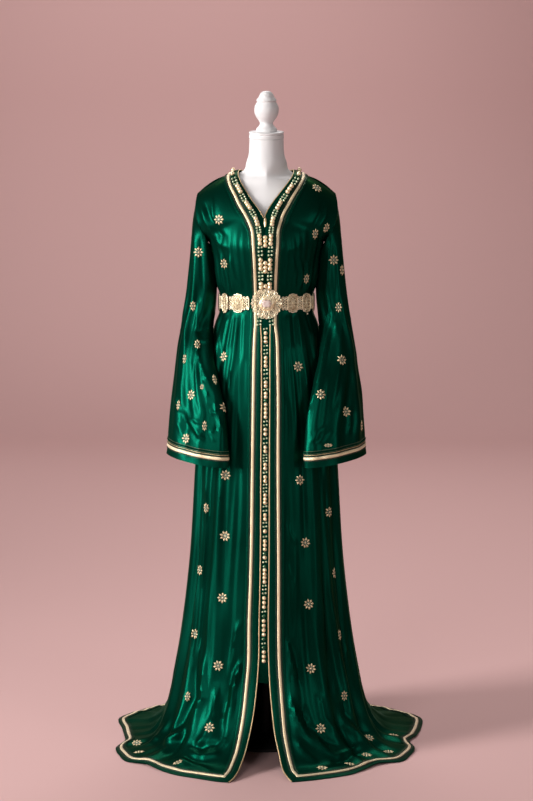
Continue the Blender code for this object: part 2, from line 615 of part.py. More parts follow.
def make_bands(collection, faces, satin, gold):
    """The band along the neck, the opening and the hem, and the braid sewn on it."""
    last = len(FRONT_YOKE) + len(BODY_ROWS) - 1
    band_top, braid_top, braid_foot = (row_index(name) for name in ("band_top", "braid_top", "braid_foot"))
    stations = len(FRONT_SHARES) + 2
    band = (GAP, GAP + BAND)
    braid = (2 * GAP + BAND, 2 * GAP + BAND + BRAID)
    for side, _ in SIDES:
        outer, normals = faces[f"front_{side}"]
        cells = [(row, column) for row in range(last) for column in range(3)]
        cells += [(row, column) for row in range(band_top, last) for column in range(3, stations)]
        wall(collection, f"band_{side}", *on_cloth(outer, normals, *band), satin, cells)
        cells = [(row, 1) for row in range(braid_foot)]
        cells += [(braid_top, column) for column in range(2, stations)]
        wall(collection, f"braid_{side}", *on_cloth(outer, normals, *braid), gold, cells)
    outer, normals = faces["back"]
    width = 2 * BACK_STATIONS
    cells = [(row, column) for row in range(band_top, last) for column in range(width)]
    wall(collection, "band_back_hem", *on_cloth(outer, normals, *band), satin, cells)
    cells = [(braid_top, column) for column in range(width)]
    wall(collection, "braid_back_hem", *on_cloth(outer, normals, *braid), gold, cells)
    reach = NECK_STATION + len(BACK_BAND)
    middle = BACK_STATIONS
    cells = [(row, column) for row in range(3) for column in range(middle - reach, middle + reach)]
    wall(collection, "band_back_neck", *on_cloth(outer, normals, *band), satin, cells)
    cells = [(1, column) for column in range(middle - reach + 1, middle + reach - 1)]
    cells += [(0, middle - reach + 1), (0, middle + reach - 2)]
    wall(collection, "braid_back_neck", *on_cloth(outer, normals, *braid), gold, cells)
    names = [row.name for row in SLEEVE_ROWS]
    cuff_braid = names.index("braid_top") + 1
    for side, _ in SIDES:
        outer, normals = faces[f"sleeve_{side}"]
        cells = [(cuff_braid, column) for column in range(outer.shape[1])]
        faces_of = on_cloth(outer, normals, GAP, GAP + BRAID)
        wall(collection, f"braid_cuff_{side}", *faces_of, gold, cells, round_ring=True)


def make_placket(collection, faces, satin):
    """The strip behind the opening that the buttons are sewn to. Returns its middle line."""
    left, left_normals = faces["front_left"]
    right, right_normals = faces["front_right"]
    first, last = row_index("vee"), row_index("opening")
    back = CLOTH + 2 * GAP
    rows, directions = [], []
    for row in range(first, last + 1):
        ahead = unit(left_normals[row, 0] + right_normals[row, 0])
        middle = (left[row, 0] + right[row, 0]) / 2
        under = [face[row, 0] * 0.5 + face[row, 1] * 0.5 for face in (left, right)]
        rows.append([under[0], middle, under[1]])
        directions.append([left_normals[row, 0], ahead, right_normals[row, 0]])
    hang = np.array(rows[-1]) + np.array([0.0, 0.004, -0.052])
    grid = np.array([*rows, hang])
    normals = np.array([*directions, directions[-1]])
    outer = grid - normals * back
    inner = grid - normals * (back + CLOTH)
    wall(collection, "placket", outer, inner, satin)
    return outer[:, 1], normals[:, 1]


def between(path, facing, low, high):
    """The part of a path between two heights, and the way it faces there."""
    heights = path[:, 2]
    inside = heights[(heights > low) & (heights < high)]
    at = np.array([high, *inside, low])
    return [
        np.stack([np.interp(at, heights[::-1], line[::-1, axis]) for axis in range(3)], axis=1)
        for line in (path, facing)
    ]


def make_buttons(collection, faces, middle, gold):
    """Knotted buttons down the opening, and a row along each side of the neck."""
    line, ahead = middle
    path = line + ahead * (GAP + BEAD_FLAT)
    bodice = between(path, ahead, BELT_Z + MEDALLION_RADIUS + 0.006, 1.292)
    skirt = between(path, ahead, 0.236, BELT_Z - MEDALLION_RADIUS - 0.006)
    bead_string(collection, "buttons_bodice", *bodice, gold)
    bead_string(collection, "buttons_skirt", *skirt, gold)
    for side, _ in SIDES:
        outer, normals = faces[f"front_{side}"]
        share = np.interp(outer[:, 0, 2], [1.25, 1.31], [0.48, 0.60])[:, None]
        line = outer[:, 0] * (1 - share) + outer[:, 1] * share
        facing = unit(normals[:, 0] * (1 - share) + normals[:, 1] * share)
        line = line + facing * (3 * GAP + BAND + BEAD_FLAT)
        neck = between(line, facing, BELT_Z + MEDALLION_RADIUS + 0.006, line[0, 2] - 0.001)
        bead_string(collection, f"beads_{side}", *neck, gold)


# The belt


def belt_cloth(faces):
    """Outer points of the cloth and the braids near the belt."""
    rows = range(row_index("blouse"), row_index("flare") + 1)
    raised = 2 * GAP + BAND + BRAID
    points = []
    for name in ("front_left", "front_right", "back"):
        outer, normals = faces[name]
        band = 3 if name != "back" else 0
        for row in rows:
            for column in range(outer.shape[1]):
                lift = raised if column <= band and name != "back" else 0.0
                points.append(outer[row, column] + normals[row, column] * lift)
    return np.array(points)


def cloth_reach(points, direction, half_height):
    """How far the cloth behind a belt piece reaches along the piece's direction."""
    heights = [row.z_side for row in BODY_ROWS]
    reach = [(points[np.abs(points[:, 2] - z) < 0.004, :2] @ direction).max() for z in heights[3:8]]
    levels = list(reversed(heights[3:8]))
    edges = [BELT_Z - half_height, BELT_Z, BELT_Z + half_height]
    inside = [z for z in levels if edges[0] < z < edges[2]]
    return max(np.interp(edges + inside, levels, list(reversed(reach))))


def medallion_seat(faces):
    """How far forward the cloth and its bands reach behind the medallion."""
    bare, braided = GAP + BAND, 2 * GAP + BAND + BRAID
    raised = (bare, braided, braided, bare)
    reach = 0.0
    for drop in np.linspace(-MEDALLION_RADIUS, MEDALLION_RADIUS, 31):
        half = math.sqrt(MEDALLION_RADIUS**2 - drop**2)
        line = []
        for name in ("front_right", "front_left"):
            outer = faces[name][0][:, :4]
            order = range(3, -1, -1) if name == "front_right" else range(4)
            for column in order:
                points = outer[::-1, column]
                x, y = (np.interp(BELT_Z + drop, points[:, 2], points[:, axis]) for axis in (0, 1))
                line.append((x, y - raised[column]))
        line = np.array(line)
        samples = np.interp(np.linspace(-half, half, 15), line[:, 0], line[:, 1])
        reach = max(reach, -samples.min())
    return reach


def waist_stops():
    """Each belt piece: its kind, and its place along the waist from the middle of the front."""
    stops = []
    at = MEDALLION_RADIUS - 0.0005
    for _ in range(6):
        stops.append(("link", at + BELT_JOINT + LINK_WIDTH / 2))
        at += BELT_JOINT + LINK_WIDTH
        stops.append(("plate", at + BELT_JOINT + PLATE_WIDTH / 2))
        at += BELT_JOINT + PLATE_WIDTH
    stops.append(("link", at + BELT_JOINT + LINK_WIDTH / 2))
    return stops, at + BELT_JOINT + LINK_WIDTH


def plate_outline():
    """A plate with three scallops along its top and bottom and straight sides."""
    bumps = [(-0.0105, 0.0185), (0.0, 0.0220), (0.0105, 0.0185)]
    half = PLATE_WIDTH / 2
    top = [(half, 0.0150)]
    for x, z in reversed(bumps):
        top += [(x + 0.0032, z - 0.0004), (x - 0.0032, z - 0.0004)]
    top.append((-half, 0.0150))
    return top + [(-x, -z) for x, z in top]


def medallion_outline():
    loop = []
    for petal in range(PETALS):
        for step, radius in ((-0.30, 0.955), (0.0, 1.0), (0.30, 0.955), (0.5, 0.885)):
            turn = math.pi / 2 + 2 * math.pi * (petal + step) / PETALS
            loop.append((MEDALLION_RADIUS * radius * math.cos(turn), MEDALLION_RADIUS * radius * math.sin(turn)))
    return loop


def make_belt(collection, faces, gold, crystal):
    points = belt_cloth(faces)
    angles = np.linspace(0, 2 * math.pi, 721)
    directions = np.stack([np.sin(angles), -np.cos(angles)], axis=1)
    support = np.array([cloth_reach(points, direction, PLATE_HEIGHT / 2) for direction in directions])
    slope = np.gradient(support, angles)
    tangents = np.stack([np.cos(angles), np.sin(angles)], axis=1)
    loop = directions * support[:, None] + tangents * slope[:, None]
    lengths = np.concatenate([[0], np.cumsum(np.linalg.norm(np.diff(loop, axis=0), axis=1))])
    total = lengths[-1]
    stops, used = waist_stops()
    slack = (total / 2 - used - PLATE_WIDTH / 2 - BELT_JOINT) / len(stops)
    places = [("plate", "plate_back", total / 2)]
    for index, (kind, at) in enumerate(stops):
        at += slack * (index + 1)
        number = index // 2 + 1
        places.append((kind, f"{kind}_left_{number}", at))
        places.append((kind, f"{kind}_right_{number}", total - at))
    for kind, name, at in places:
        turn = float(np.interp(at, lengths, angles))
        if kind == "plate":
            thing = outline_piece(collection, f"belt_{name}", plate_outline(), [], PLATE_THICK, gold)
        else:
            half, tall = LINK_WIDTH / 2, LINK_HEIGHT / 2
            outline = [(half, -tall), (half, tall), (-half, tall), (-half, -tall)]
            holes = [circle(LINK_HOLE / 2, 4, (0.0, z)) for z in (-0.0085, 0.0, 0.0085)]
            thing = outline_piece(collection, f"belt_{name}", outline, holes, PLATE_THICK, gold)
        direction = np.array([math.sin(turn), -math.cos(turn)])
        tangent = np.array([math.cos(turn), math.sin(turn)])
        half_height = PLATE_HEIGHT / 2 if kind == "plate" else LINK_HEIGHT / 2
        reach = cloth_reach(points, direction, half_height) + 1.5 * GAP + PLATE_THICK / 2
        on_loop = np.array([np.interp(at, lengths, loop[:, axis]) for axis in range(2)])
        spot = direction * reach + tangent * float(on_loop @ tangent)
        thing.location = (spot[0], spot[1], BELT_Z)
        thing.rotation_euler = (math.pi / 2, 0.0, turn)
    holes = []
    for petal in range(PETALS):
        turn = math.pi / 2 + 2 * math.pi * petal / PETALS
        middle = MEDALLION_RADIUS * 0.80
        holes.append(circle(0.0028, 4, (middle * math.cos(turn), middle * math.sin(turn)), turn))
    medallion = outline_piece(collection, "belt_medallion", medallion_outline(), holes, MEDALLION_THICK, gold)
    face = -medallion_seat(faces) - GAP - MEDALLION_THICK
    medallion.location = (0.0, face + MEDALLION_THICK / 2, BELT_Z)
    medallion.rotation_euler = (math.pi / 2, 0.0, 0.0)
    boss = [(0.0240, 0.0), (0.0225, 0.0022), (0.0160, 0.0038), (0.0135, 0.0040)]
    setting = turned(collection, "belt_setting", boss, gold, 16)
    setting.rotation_euler = (math.pi / 2, 0.0, 0.0)
    setting.location = (0.0, face - GAP, BELT_Z)
    gem = [(STONE_RADIUS, 0.0), (STONE_RADIUS, 0.0020), (STONE_RADIUS * 0.6, 0.0048)]
    stone = turned(collection, "belt_stone", gem, crystal, 8)
    stone.rotation_euler = (math.pi / 2, math.pi / 8, 0.0)
    stone.location = (0.0, face - 2 * GAP - boss[-1][1], BELT_Z)


# The dress form


def make_form(collection, white, black):
    build = bmesh.new()
    rings = []
    for row in FORM_ROWS:
        ring = []
        for step in range(FORM_SIDES):
            turn = 2 * math.pi * step / FORM_SIDES
            across, ahead = math.sin(turn), math.cos(turn)
            depth = row.front if ahead >= 0 else row.back
            x = row.half * math.copysign(abs(across) ** (2 / row.power), across)
            y = -depth * math.copysign(abs(ahead) ** (2 / row.power), ahead)
            lean = math.tan(CAP_TILT) * y if row is FORM_ROWS[0] else 0.0
            ring.append(build.verts.new((x, y, row.z + lean)))
        rings.append(ring)
    for upper, lower in zip(rings, rings[1:]):
        for step in range(FORM_SIDES):
            after = (step + 1) % FORM_SIDES
            build.faces.new([upper[step], lower[step], lower[after], upper[after]])
    build.faces.new(rings[0])
    build.faces.new(rings[-1])
    bmesh.ops.recalc_face_normals(build, faces=build.faces)
    mesh = bpy.data.meshes.new("form_torso")
    build.to_mesh(mesh)
    build.free()
    lay_in(collection, "form_torso", mesh, white)
    top = FORM_ROWS[0].z
    thick = -CAP_PROFILE[0][1]
    cap = turned(collection, "form_neck_cap", CAP_PROFILE, white, FORM_SIDES)
    cap.rotation_euler = (CAP_TILT, 0.0, 0.0)
    lift = top + (thick + GAP) / math.cos(CAP_TILT)
    cap.location = (0.0, 0.0, lift)
    finial = turned(collection, "form_finial", FINIAL_PROFILE, white, 12)
    finial.rotation_euler = (CAP_TILT, 0.0, 0.0)
    finial.location = (0.0, 0.0, lift + GAP / math.cos(CAP_TILT))
    floor_of_form = FORM_ROWS[-1].z
    pole = [(POLE_RADIUS, BASE_THICK + GAP), (POLE_RADIUS, floor_of_form - GAP)]
    turned(collection, "stand_pole", pole, black, 16)
    base = [(BASE_RADIUS, 0.0), (BASE_RADIUS, BASE_THICK * 0.6), (BASE_RADIUS * 0.9, BASE_THICK)]
    turned(collection, "stand_base", base, black, 32)


SIDES = (("left", 1), ("right", -1))


def main():
    clear_scene()
    collection = bpy.data.collections.new("kaftan")
    bpy.context.scene.collection.children.link(collection)
    satin = material("green_satin", (0.010, 0.110, 0.060), 0.35)
    gold = material("gold_braid", (0.80, 0.60, 0.32), 0.40, 0.8)
    belt_gold = material("gold_metal", (0.85, 0.66, 0.38), 0.30, 1.0)
    crystal = material("crystal", (0.92, 0.86, 0.84), 0.08)
    white = material("white_form", (0.86, 0.84, 0.82), 0.55)
    black = material("black_iron", (0.01, 0.01, 0.01), 0.45, 0.6)
    faces = make_cloth(collection, satin)
    make_bands(collection, faces, satin, gold)
    middle = make_placket(collection, faces, satin)
    make_buttons(collection, faces, middle, gold)
    make_belt(collection, faces, belt_gold, crystal)
    make_form(collection, white, black)


main()
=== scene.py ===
# %% [markdown]
# # A satin kaftan on a dress form
# The real thing is a floor-length gown of heavy satin, cut as two front panels, one back panel and
# two wide sleeves. Braid, knotted buttons and a pierced belt finish it, and it hangs on a limbless
# display form. The solids of the same object are loaded first: they hold every size, and each
# visible piece below stands in for one or more of them.

# %% Load the solids
import math
from collections import namedtuple

import bmesh
import bpy
import numpy as np
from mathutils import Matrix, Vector
from mathutils.bvhtree import BVHTree


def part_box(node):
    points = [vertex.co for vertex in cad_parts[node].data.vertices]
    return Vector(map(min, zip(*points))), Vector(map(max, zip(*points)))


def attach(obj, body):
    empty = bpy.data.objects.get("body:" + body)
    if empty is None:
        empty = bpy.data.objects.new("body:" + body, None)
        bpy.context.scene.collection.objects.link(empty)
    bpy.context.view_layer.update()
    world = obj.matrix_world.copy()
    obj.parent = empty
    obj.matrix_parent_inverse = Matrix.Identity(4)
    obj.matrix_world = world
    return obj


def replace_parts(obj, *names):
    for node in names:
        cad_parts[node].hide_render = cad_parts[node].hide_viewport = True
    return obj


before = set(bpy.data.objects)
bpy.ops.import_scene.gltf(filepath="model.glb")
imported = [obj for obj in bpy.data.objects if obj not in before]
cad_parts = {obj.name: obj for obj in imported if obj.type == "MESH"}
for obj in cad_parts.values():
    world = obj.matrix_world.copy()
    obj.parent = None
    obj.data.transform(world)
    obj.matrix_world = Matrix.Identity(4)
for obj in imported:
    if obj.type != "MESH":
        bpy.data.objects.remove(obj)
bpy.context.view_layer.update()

# %% [markdown]
# The camera stands where the photographer stood: level with the chest, 4.5 m away, with a long
# lens that looks a little down. The same numbers also give a function that says where a point of
# the cloth is seen in the picture, which is handy for drawing creases where the eye wants them.

# %% Camera
CAMERA_PLACE = (0.0, -4.5, 1.30)
CAMERA_PITCH = math.radians(5.6099)
PICTURE = (533, 801)
FOCAL = 1814.96  # in pixels of the picture

lens = bpy.data.cameras.new("camera")
lens.sensor_width = 36.0
lens.lens = 36.0 * FOCAL / PICTURE[1]
camera = bpy.data.objects.new("camera", lens)
camera.location = CAMERA_PLACE
camera.rotation_euler = (math.pi / 2 - CAMERA_PITCH, 0.0, 0.0)
bpy.context.scene.collection.objects.link(camera)
bpy.context.scene.camera = camera


def seen(points):
    """Where points are seen in the picture, in pixels from its top left corner."""
    away = np.asarray(points, float) - np.array(CAMERA_PLACE)
    x, y, z = away[..., 0], away[..., 1], away[..., 2]
    depth = y * math.cos(CAMERA_PITCH) - z * math.sin(CAMERA_PITCH)
    rise = y * math.sin(CAMERA_PITCH) + z * math.cos(CAMERA_PITCH)
    return np.stack([PICTURE[0] / 2 + FOCAL * x / depth, PICTURE[1] / 2 - FOCAL * rise / depth], axis=-1)


print("lens:", round(lens.lens, 2), "mm")

# %% [markdown]
# ## Shader groups
# Satin, braid and metal share a few effects. Each one is a node group with named inputs and
# outputs, built once, so a material only sets its own values.

# %% Node helpers
def new_group(name, inputs, outputs):
    """A shader node group. inputs and outputs are lists of (name, kind, default)."""
    group = bpy.data.node_groups.new(name, "ShaderNodeTree")
    for title, kind, value in inputs:
        socket = group.interface.new_socket(title, in_out="INPUT", socket_type=kind)
        if value is not None:
            socket.default_value = value
    for title, kind in outputs:
        group.interface.new_socket(title, in_out="OUTPUT", socket_type=kind)
    return group, group.nodes.new("NodeGroupInput"), group.nodes.new("NodeGroupOutput")


def add(tree, kind, settings=None, **inputs):
    """Adds a node. inputs are values or output sockets, by name with _ for a space, or by number as i0."""
    node = tree.nodes.new(kind)
    for key, value in (settings or {}).items():
        setattr(node, key, value)
    for key, value in inputs.items():
        by_number = key[0] == "i" and key[1:].isdigit()
        socket = node.inputs[int(key[1:]) if by_number else key.replace("_", " ")]
        if isinstance(value, bpy.types.NodeSocket):
            tree.links.new(value, socket)
        else:
            socket.default_value = value
    return node


def maths(tree, operation, *values):
    node = add(tree, "ShaderNodeMath", {"operation": operation}, **{f"i{n}": v for n, v in enumerate(values)})
    return node.outputs[0]


def between_colours(tree, factor, first, second):
    node = tree.nodes.new("ShaderNodeMix")
    node.data_type = "RGBA"
    for socket, value in ((node.inputs[0], factor), (node.inputs[6], first), (node.inputs[7], second)):
        if isinstance(value, bpy.types.NodeSocket):
            tree.links.new(value, socket)
        else:
            socket.default_value = value
    return node.outputs[2]


FLOAT = "NodeSocketFloat"
print("node helpers ready")

# %% [markdown]
# Satin has long floats of warp thread on its face. From a step away they show as fine streaks down
# the cloth and a soft change of tone. The cloth pieces carry a map named lay, in millimetres along
# and across the piece, so the streaks follow the cloth: Width and Length say how fine the noise is
# in each direction.

# %% Streaks group
streaks, ask, give = new_group(
    "streaks",
    [("Width", FLOAT, 0.4), ("Length", FLOAT, 0.02), ("Cloud", FLOAT, 6.0)],
    [("Streak", FLOAT), ("Cloud", FLOAT)],
)
place = add(streaks, "ShaderNodeTexCoord")
lay = add(streaks, "ShaderNodeUVMap", {"uv_map": "lay"})
scale = add(streaks, "ShaderNodeCombineXYZ", X=ask.outputs["Length"], Y=ask.outputs["Width"], Z=1.0)
spread = add(
    streaks, "ShaderNodeVectorMath", {"operation": "MULTIPLY"}, i0=lay.outputs[0], i1=scale.outputs[0]
)
fine = add(streaks, "ShaderNodeTexNoise", Vector=spread.outputs[0], Scale=1.0, Detail=3.0, Roughness=0.6)
broad = add(
    streaks, "ShaderNodeTexNoise", Vector=place.outputs["Object"], Scale=ask.outputs["Cloud"], Detail=2.0
)
streaks.links.new(fine.outputs[0], give.inputs["Streak"])
streaks.links.new(broad.outputs[0], give.inputs["Cloud"])
print("group:", streaks.name)

# %% [markdown]
# Twisted metal thread runs across braid and cord in slanting ribs. The pieces carry a map whose
# first number runs along the piece in millimetres and whose second runs across it, so the group
# only needs the pitch of the ribs and their slant.

# %% Ribs group
ribs, ask, give = new_group(
    "ribs", [("Pitch", FLOAT, 1.6), ("Slant", FLOAT, 0.5)], [("Height", FLOAT), ("Fleck", FLOAT)]
)
place = add(ribs, "ShaderNodeUVMap", {"uv_map": "lay"})
split = add(ribs, "ShaderNodeSeparateXYZ", Vector=place.outputs[0])
slanted = maths(
    ribs, "ADD", split.outputs[0], maths(ribs, "MULTIPLY", split.outputs[1], ask.outputs["Slant"])
)
turn = maths(ribs, "MULTIPLY", maths(ribs, "DIVIDE", slanted, ask.outputs["Pitch"]), 2 * math.pi)
wave = maths(ribs, "MULTIPLY_ADD", maths(ribs, "SINE", turn), 0.5, 0.5)
fleck = add(ribs, "ShaderNodeTexNoise", Vector=place.outputs[0], Scale=1.4, Detail=2.0)
ribs.links.new(wave, give.inputs["Height"])
ribs.links.new(fleck.outputs[0], give.inputs["Fleck"])
print("group:", ribs.name)

# %% [markdown]
# Cast and knotted metal, paint and plastic are never quite even. This group gives small grain for
# a bump and broad patches for tone and polish.

# %% Grain group
grain, ask, give = new_group(
    "grain", [("Fine", FLOAT, 900.0), ("Patches", FLOAT, 40.0)], [("Height", FLOAT), ("Patch", FLOAT)]
)
place = add(grain, "ShaderNodeTexCoord")
fine = add(grain, "ShaderNodeTexNoise", Vector=place.outputs["Object"], Scale=ask.outputs["Fine"], Detail=2.0)
broad = add(
    grain, "ShaderNodeTexNoise", Vector=place.outputs["Object"], Scale=ask.outputs["Patches"], Detail=3.0
)
grain.links.new(fine.outputs[0], give.inputs["Height"])
grain.links.new(broad.outputs[0], give.inputs["Patch"])
print("group:", grain.name)

# %% [markdown]
# ## Materials
# A material mixes two tones of its colour by a mask from a group, lets the same mask change the
# roughness a little, and gives the small relief to a Bump node.

# %% Material maker
def finish_of(name, group, values, tones, mask, height, rough, metal=0.0, bump=0.3, reach=0.0002, **fixed):
    """A material: tones are its dark and light colour, rough its lowest and highest roughness."""
    material = bpy.data.materials.new(name)
    material.use_nodes = True
    tree = material.node_tree
    shader = tree.nodes["Principled BSDF"]
    effect = add(tree, "ShaderNodeGroup", {"node_tree": group})
    for key, value in values.items():
        effect.inputs[key].default_value = value
    limits = {"Value": effect.outputs[mask], "From_Min": 0.3, "From_Max": 0.7}
    spread = add(tree, "ShaderNodeMapRange", **limits)
    colour = between_colours(tree, spread.outputs[0], (*tones[0], 1.0), (*tones[1], 1.0))
    tree.links.new(colour, shader.inputs["Base Color"])
    worn = add(tree, "ShaderNodeMapRange", **limits, To_Min=rough[0], To_Max=rough[1])
    tree.links.new(worn.outputs[0], shader.inputs["Roughness"])
    relief = add(tree, "ShaderNodeBump", Strength=bump, Distance=reach, Height=effect.outputs[height])
    tree.links.new(relief.outputs[0], shader.inputs["Normal"])
    shader.inputs["Metallic"].default_value = metal
    material.diffuse_color = (*tones[1], 1.0)
    for key, value in fixed.items():
        shader.inputs[key.replace("_", " ")].default_value = value
    return material


def grained(name, fine, patches, tones, rough, **other):
    """A material whose tone and polish follow broad patches, with a fine grain for relief."""
    values = {"Fine": fine, "Patches": patches}
    return finish_of(name, grain, values, tones, "Patch", "Height", rough, **other)


satin_face = finish_of(
    "emerald satin", streaks, {"Width": 0.42, "Length": 0.016, "Cloud": 5.0},
    [(0.0003, 0.026, 0.015), (0.0006, 0.048, 0.028)], "Cloud", "Streak", (0.30, 0.40),
    metal=0.72, bump=0.45, reach=0.0005,
    Specular_Tint=(0.01, 0.50, 0.30, 1.0), Specular_IOR_Level=0.05,
)
band_satin = finish_of(
    "stitched satin band", streaks, {"Width": 0.6, "Length": 0.25, "Cloud": 40.0},
    [(0.0004, 0.020, 0.011), (0.0012, 0.060, 0.034)], "Streak", "Streak", (0.30, 0.42),
    metal=0.65, bump=0.5, reach=0.0006,
    Specular_Tint=(0.02, 0.42, 0.24, 1.0), Specular_IOR_Level=0.15,
)
# Braid and cord take their tones from the ribs' height: the grooves are painted darker as shade and the
# crests lighter as highlight.
braid_gold = finish_of(
    "woven braid", ribs, {"Pitch": 2.2, "Slant": 0.8},
    [(0.64, 0.47, 0.25), (0.95, 0.81, 0.56)], "Height", "Height", (0.34, 0.50),
    metal=0.40, bump=0.6, reach=0.0003, Sheen_Weight=0.2,
)
# As on the braid, painted shade in the rib grooves and painted highlight on the crests.
cord_gold = finish_of(
    "twisted cord", ribs, {"Pitch": 1.2, "Slant": 1.0},
    [(0.46, 0.30, 0.13), (0.80, 0.62, 0.36)], "Height", "Height", (0.34, 0.50),
    metal=0.45, bump=0.6, reach=0.0002,
)
button_gold = grained(
    "gold knot", 600.0, 200.0, [(0.84, 0.62, 0.34), (1.0, 0.88, 0.62)], (0.22, 0.34),
    metal=0.45, bump=0.35, reach=0.0003,
)
button_green = grained(
    "green knot", 600.0, 260.0, [(0.004, 0.060, 0.030), (0.05, 0.16, 0.07)], (0.22, 0.34),
    metal=0.40, bump=0.35, reach=0.0003,
)
button_pearl = grained(
    "pearly green knot", 600.0, 260.0, [(0.20, 0.30, 0.15), (0.88, 0.92, 0.64)], (0.16, 0.28),
    metal=0.2, bump=0.3, reach=0.0003,
)
thread_gold = grained(
    "gold embroidery", 1400.0, 500.0, [(0.46, 0.34, 0.18), (0.88, 0.70, 0.44)], (0.34, 0.50),
    metal=0.30, bump=0.6, reach=0.0003,
)
thread_grey = grained(
    "grey-green embroidery", 1400.0, 500.0, [(0.055, 0.085, 0.055), (0.20, 0.24, 0.17)], (0.40, 0.55),
    metal=0.15, bump=0.6, reach=0.0003,
)
thread_olive = grained(
    "olive and gold stitches", 1400.0, 700.0, [(0.003, 0.045, 0.025), (0.13, 0.15, 0.07)], (0.38, 0.52),
    metal=0.25, bump=0.6, reach=0.0003,
)
# Near-black thread beside the braids: partly real piping, partly painted shadow for the shade at the braid's
# edge.
thread_and_shadow_finish = grained(
    "near-black thread and painted shadow", 1400.0, 300.0, [(0.001, 0.016, 0.010), (0.014, 0.028, 0.014)], (0.45, 0.60),
    metal=0.1, bump=0.5, reach=0.0003,
)
belt_gold = grained(
    "gilt belt", 500.0, 160.0, [(0.84, 0.66, 0.40), (1.0, 0.92, 0.70)], (0.26, 0.40),
    metal=0.60, bump=0.25, reach=0.0003,
)
# The ground slab behind each pierced plate is dark brown: partly patina and partly painted shade of the
# plate's hollows.
plate_ground_patina_shade = grained(
    "gilt plate ground, patina and painted shade", 1200.0, 420.0, [(0.12, 0.08, 0.035), (0.62, 0.50, 0.31)], (0.30, 0.45),
    metal=0.7, bump=0.8, reach=0.0005,
)
stone_clear = grained(
    "rose stone", 60.0, 120.0, [(0.74, 0.52, 0.45), (0.95, 0.84, 0.78)], (0.05, 0.12),
    bump=0.05, IOR=1.55, Transmission_Weight=0.25, Coat_Weight=0.5, Coat_Roughness=0.05,
)
form_white = grained(
    "form white", 420.0, 9.0, [(0.66, 0.635, 0.625), (0.72, 0.70, 0.69)], (0.50, 0.60),
    bump=0.10, reach=0.0002,
)
stand_black = grained(
    "stand black", 800.0, 20.0, [(0.012, 0.012, 0.012), (0.022, 0.022, 0.022)], (0.35, 0.5),
    metal=0.2, bump=0.15,
)
print("materials:", len(bpy.data.materials))

# %% [markdown]
# ## The cut of the kaftan
# The tables below are the same named rows that the solids are made from: rows of the body, rows of
# the yoke, and rows of a sleeve. Each row gives a ring of points, and folds lift its stations.

# %% Sizes of the cut
BRAID_WIDTH = 0.009
BAND_MARGIN = 0.008  # band beyond the braid
BAND_LIFT = 0.0003  # the band lies this far off the satin
BAND_THICK = 0.0010
CLOTH = 0.0012

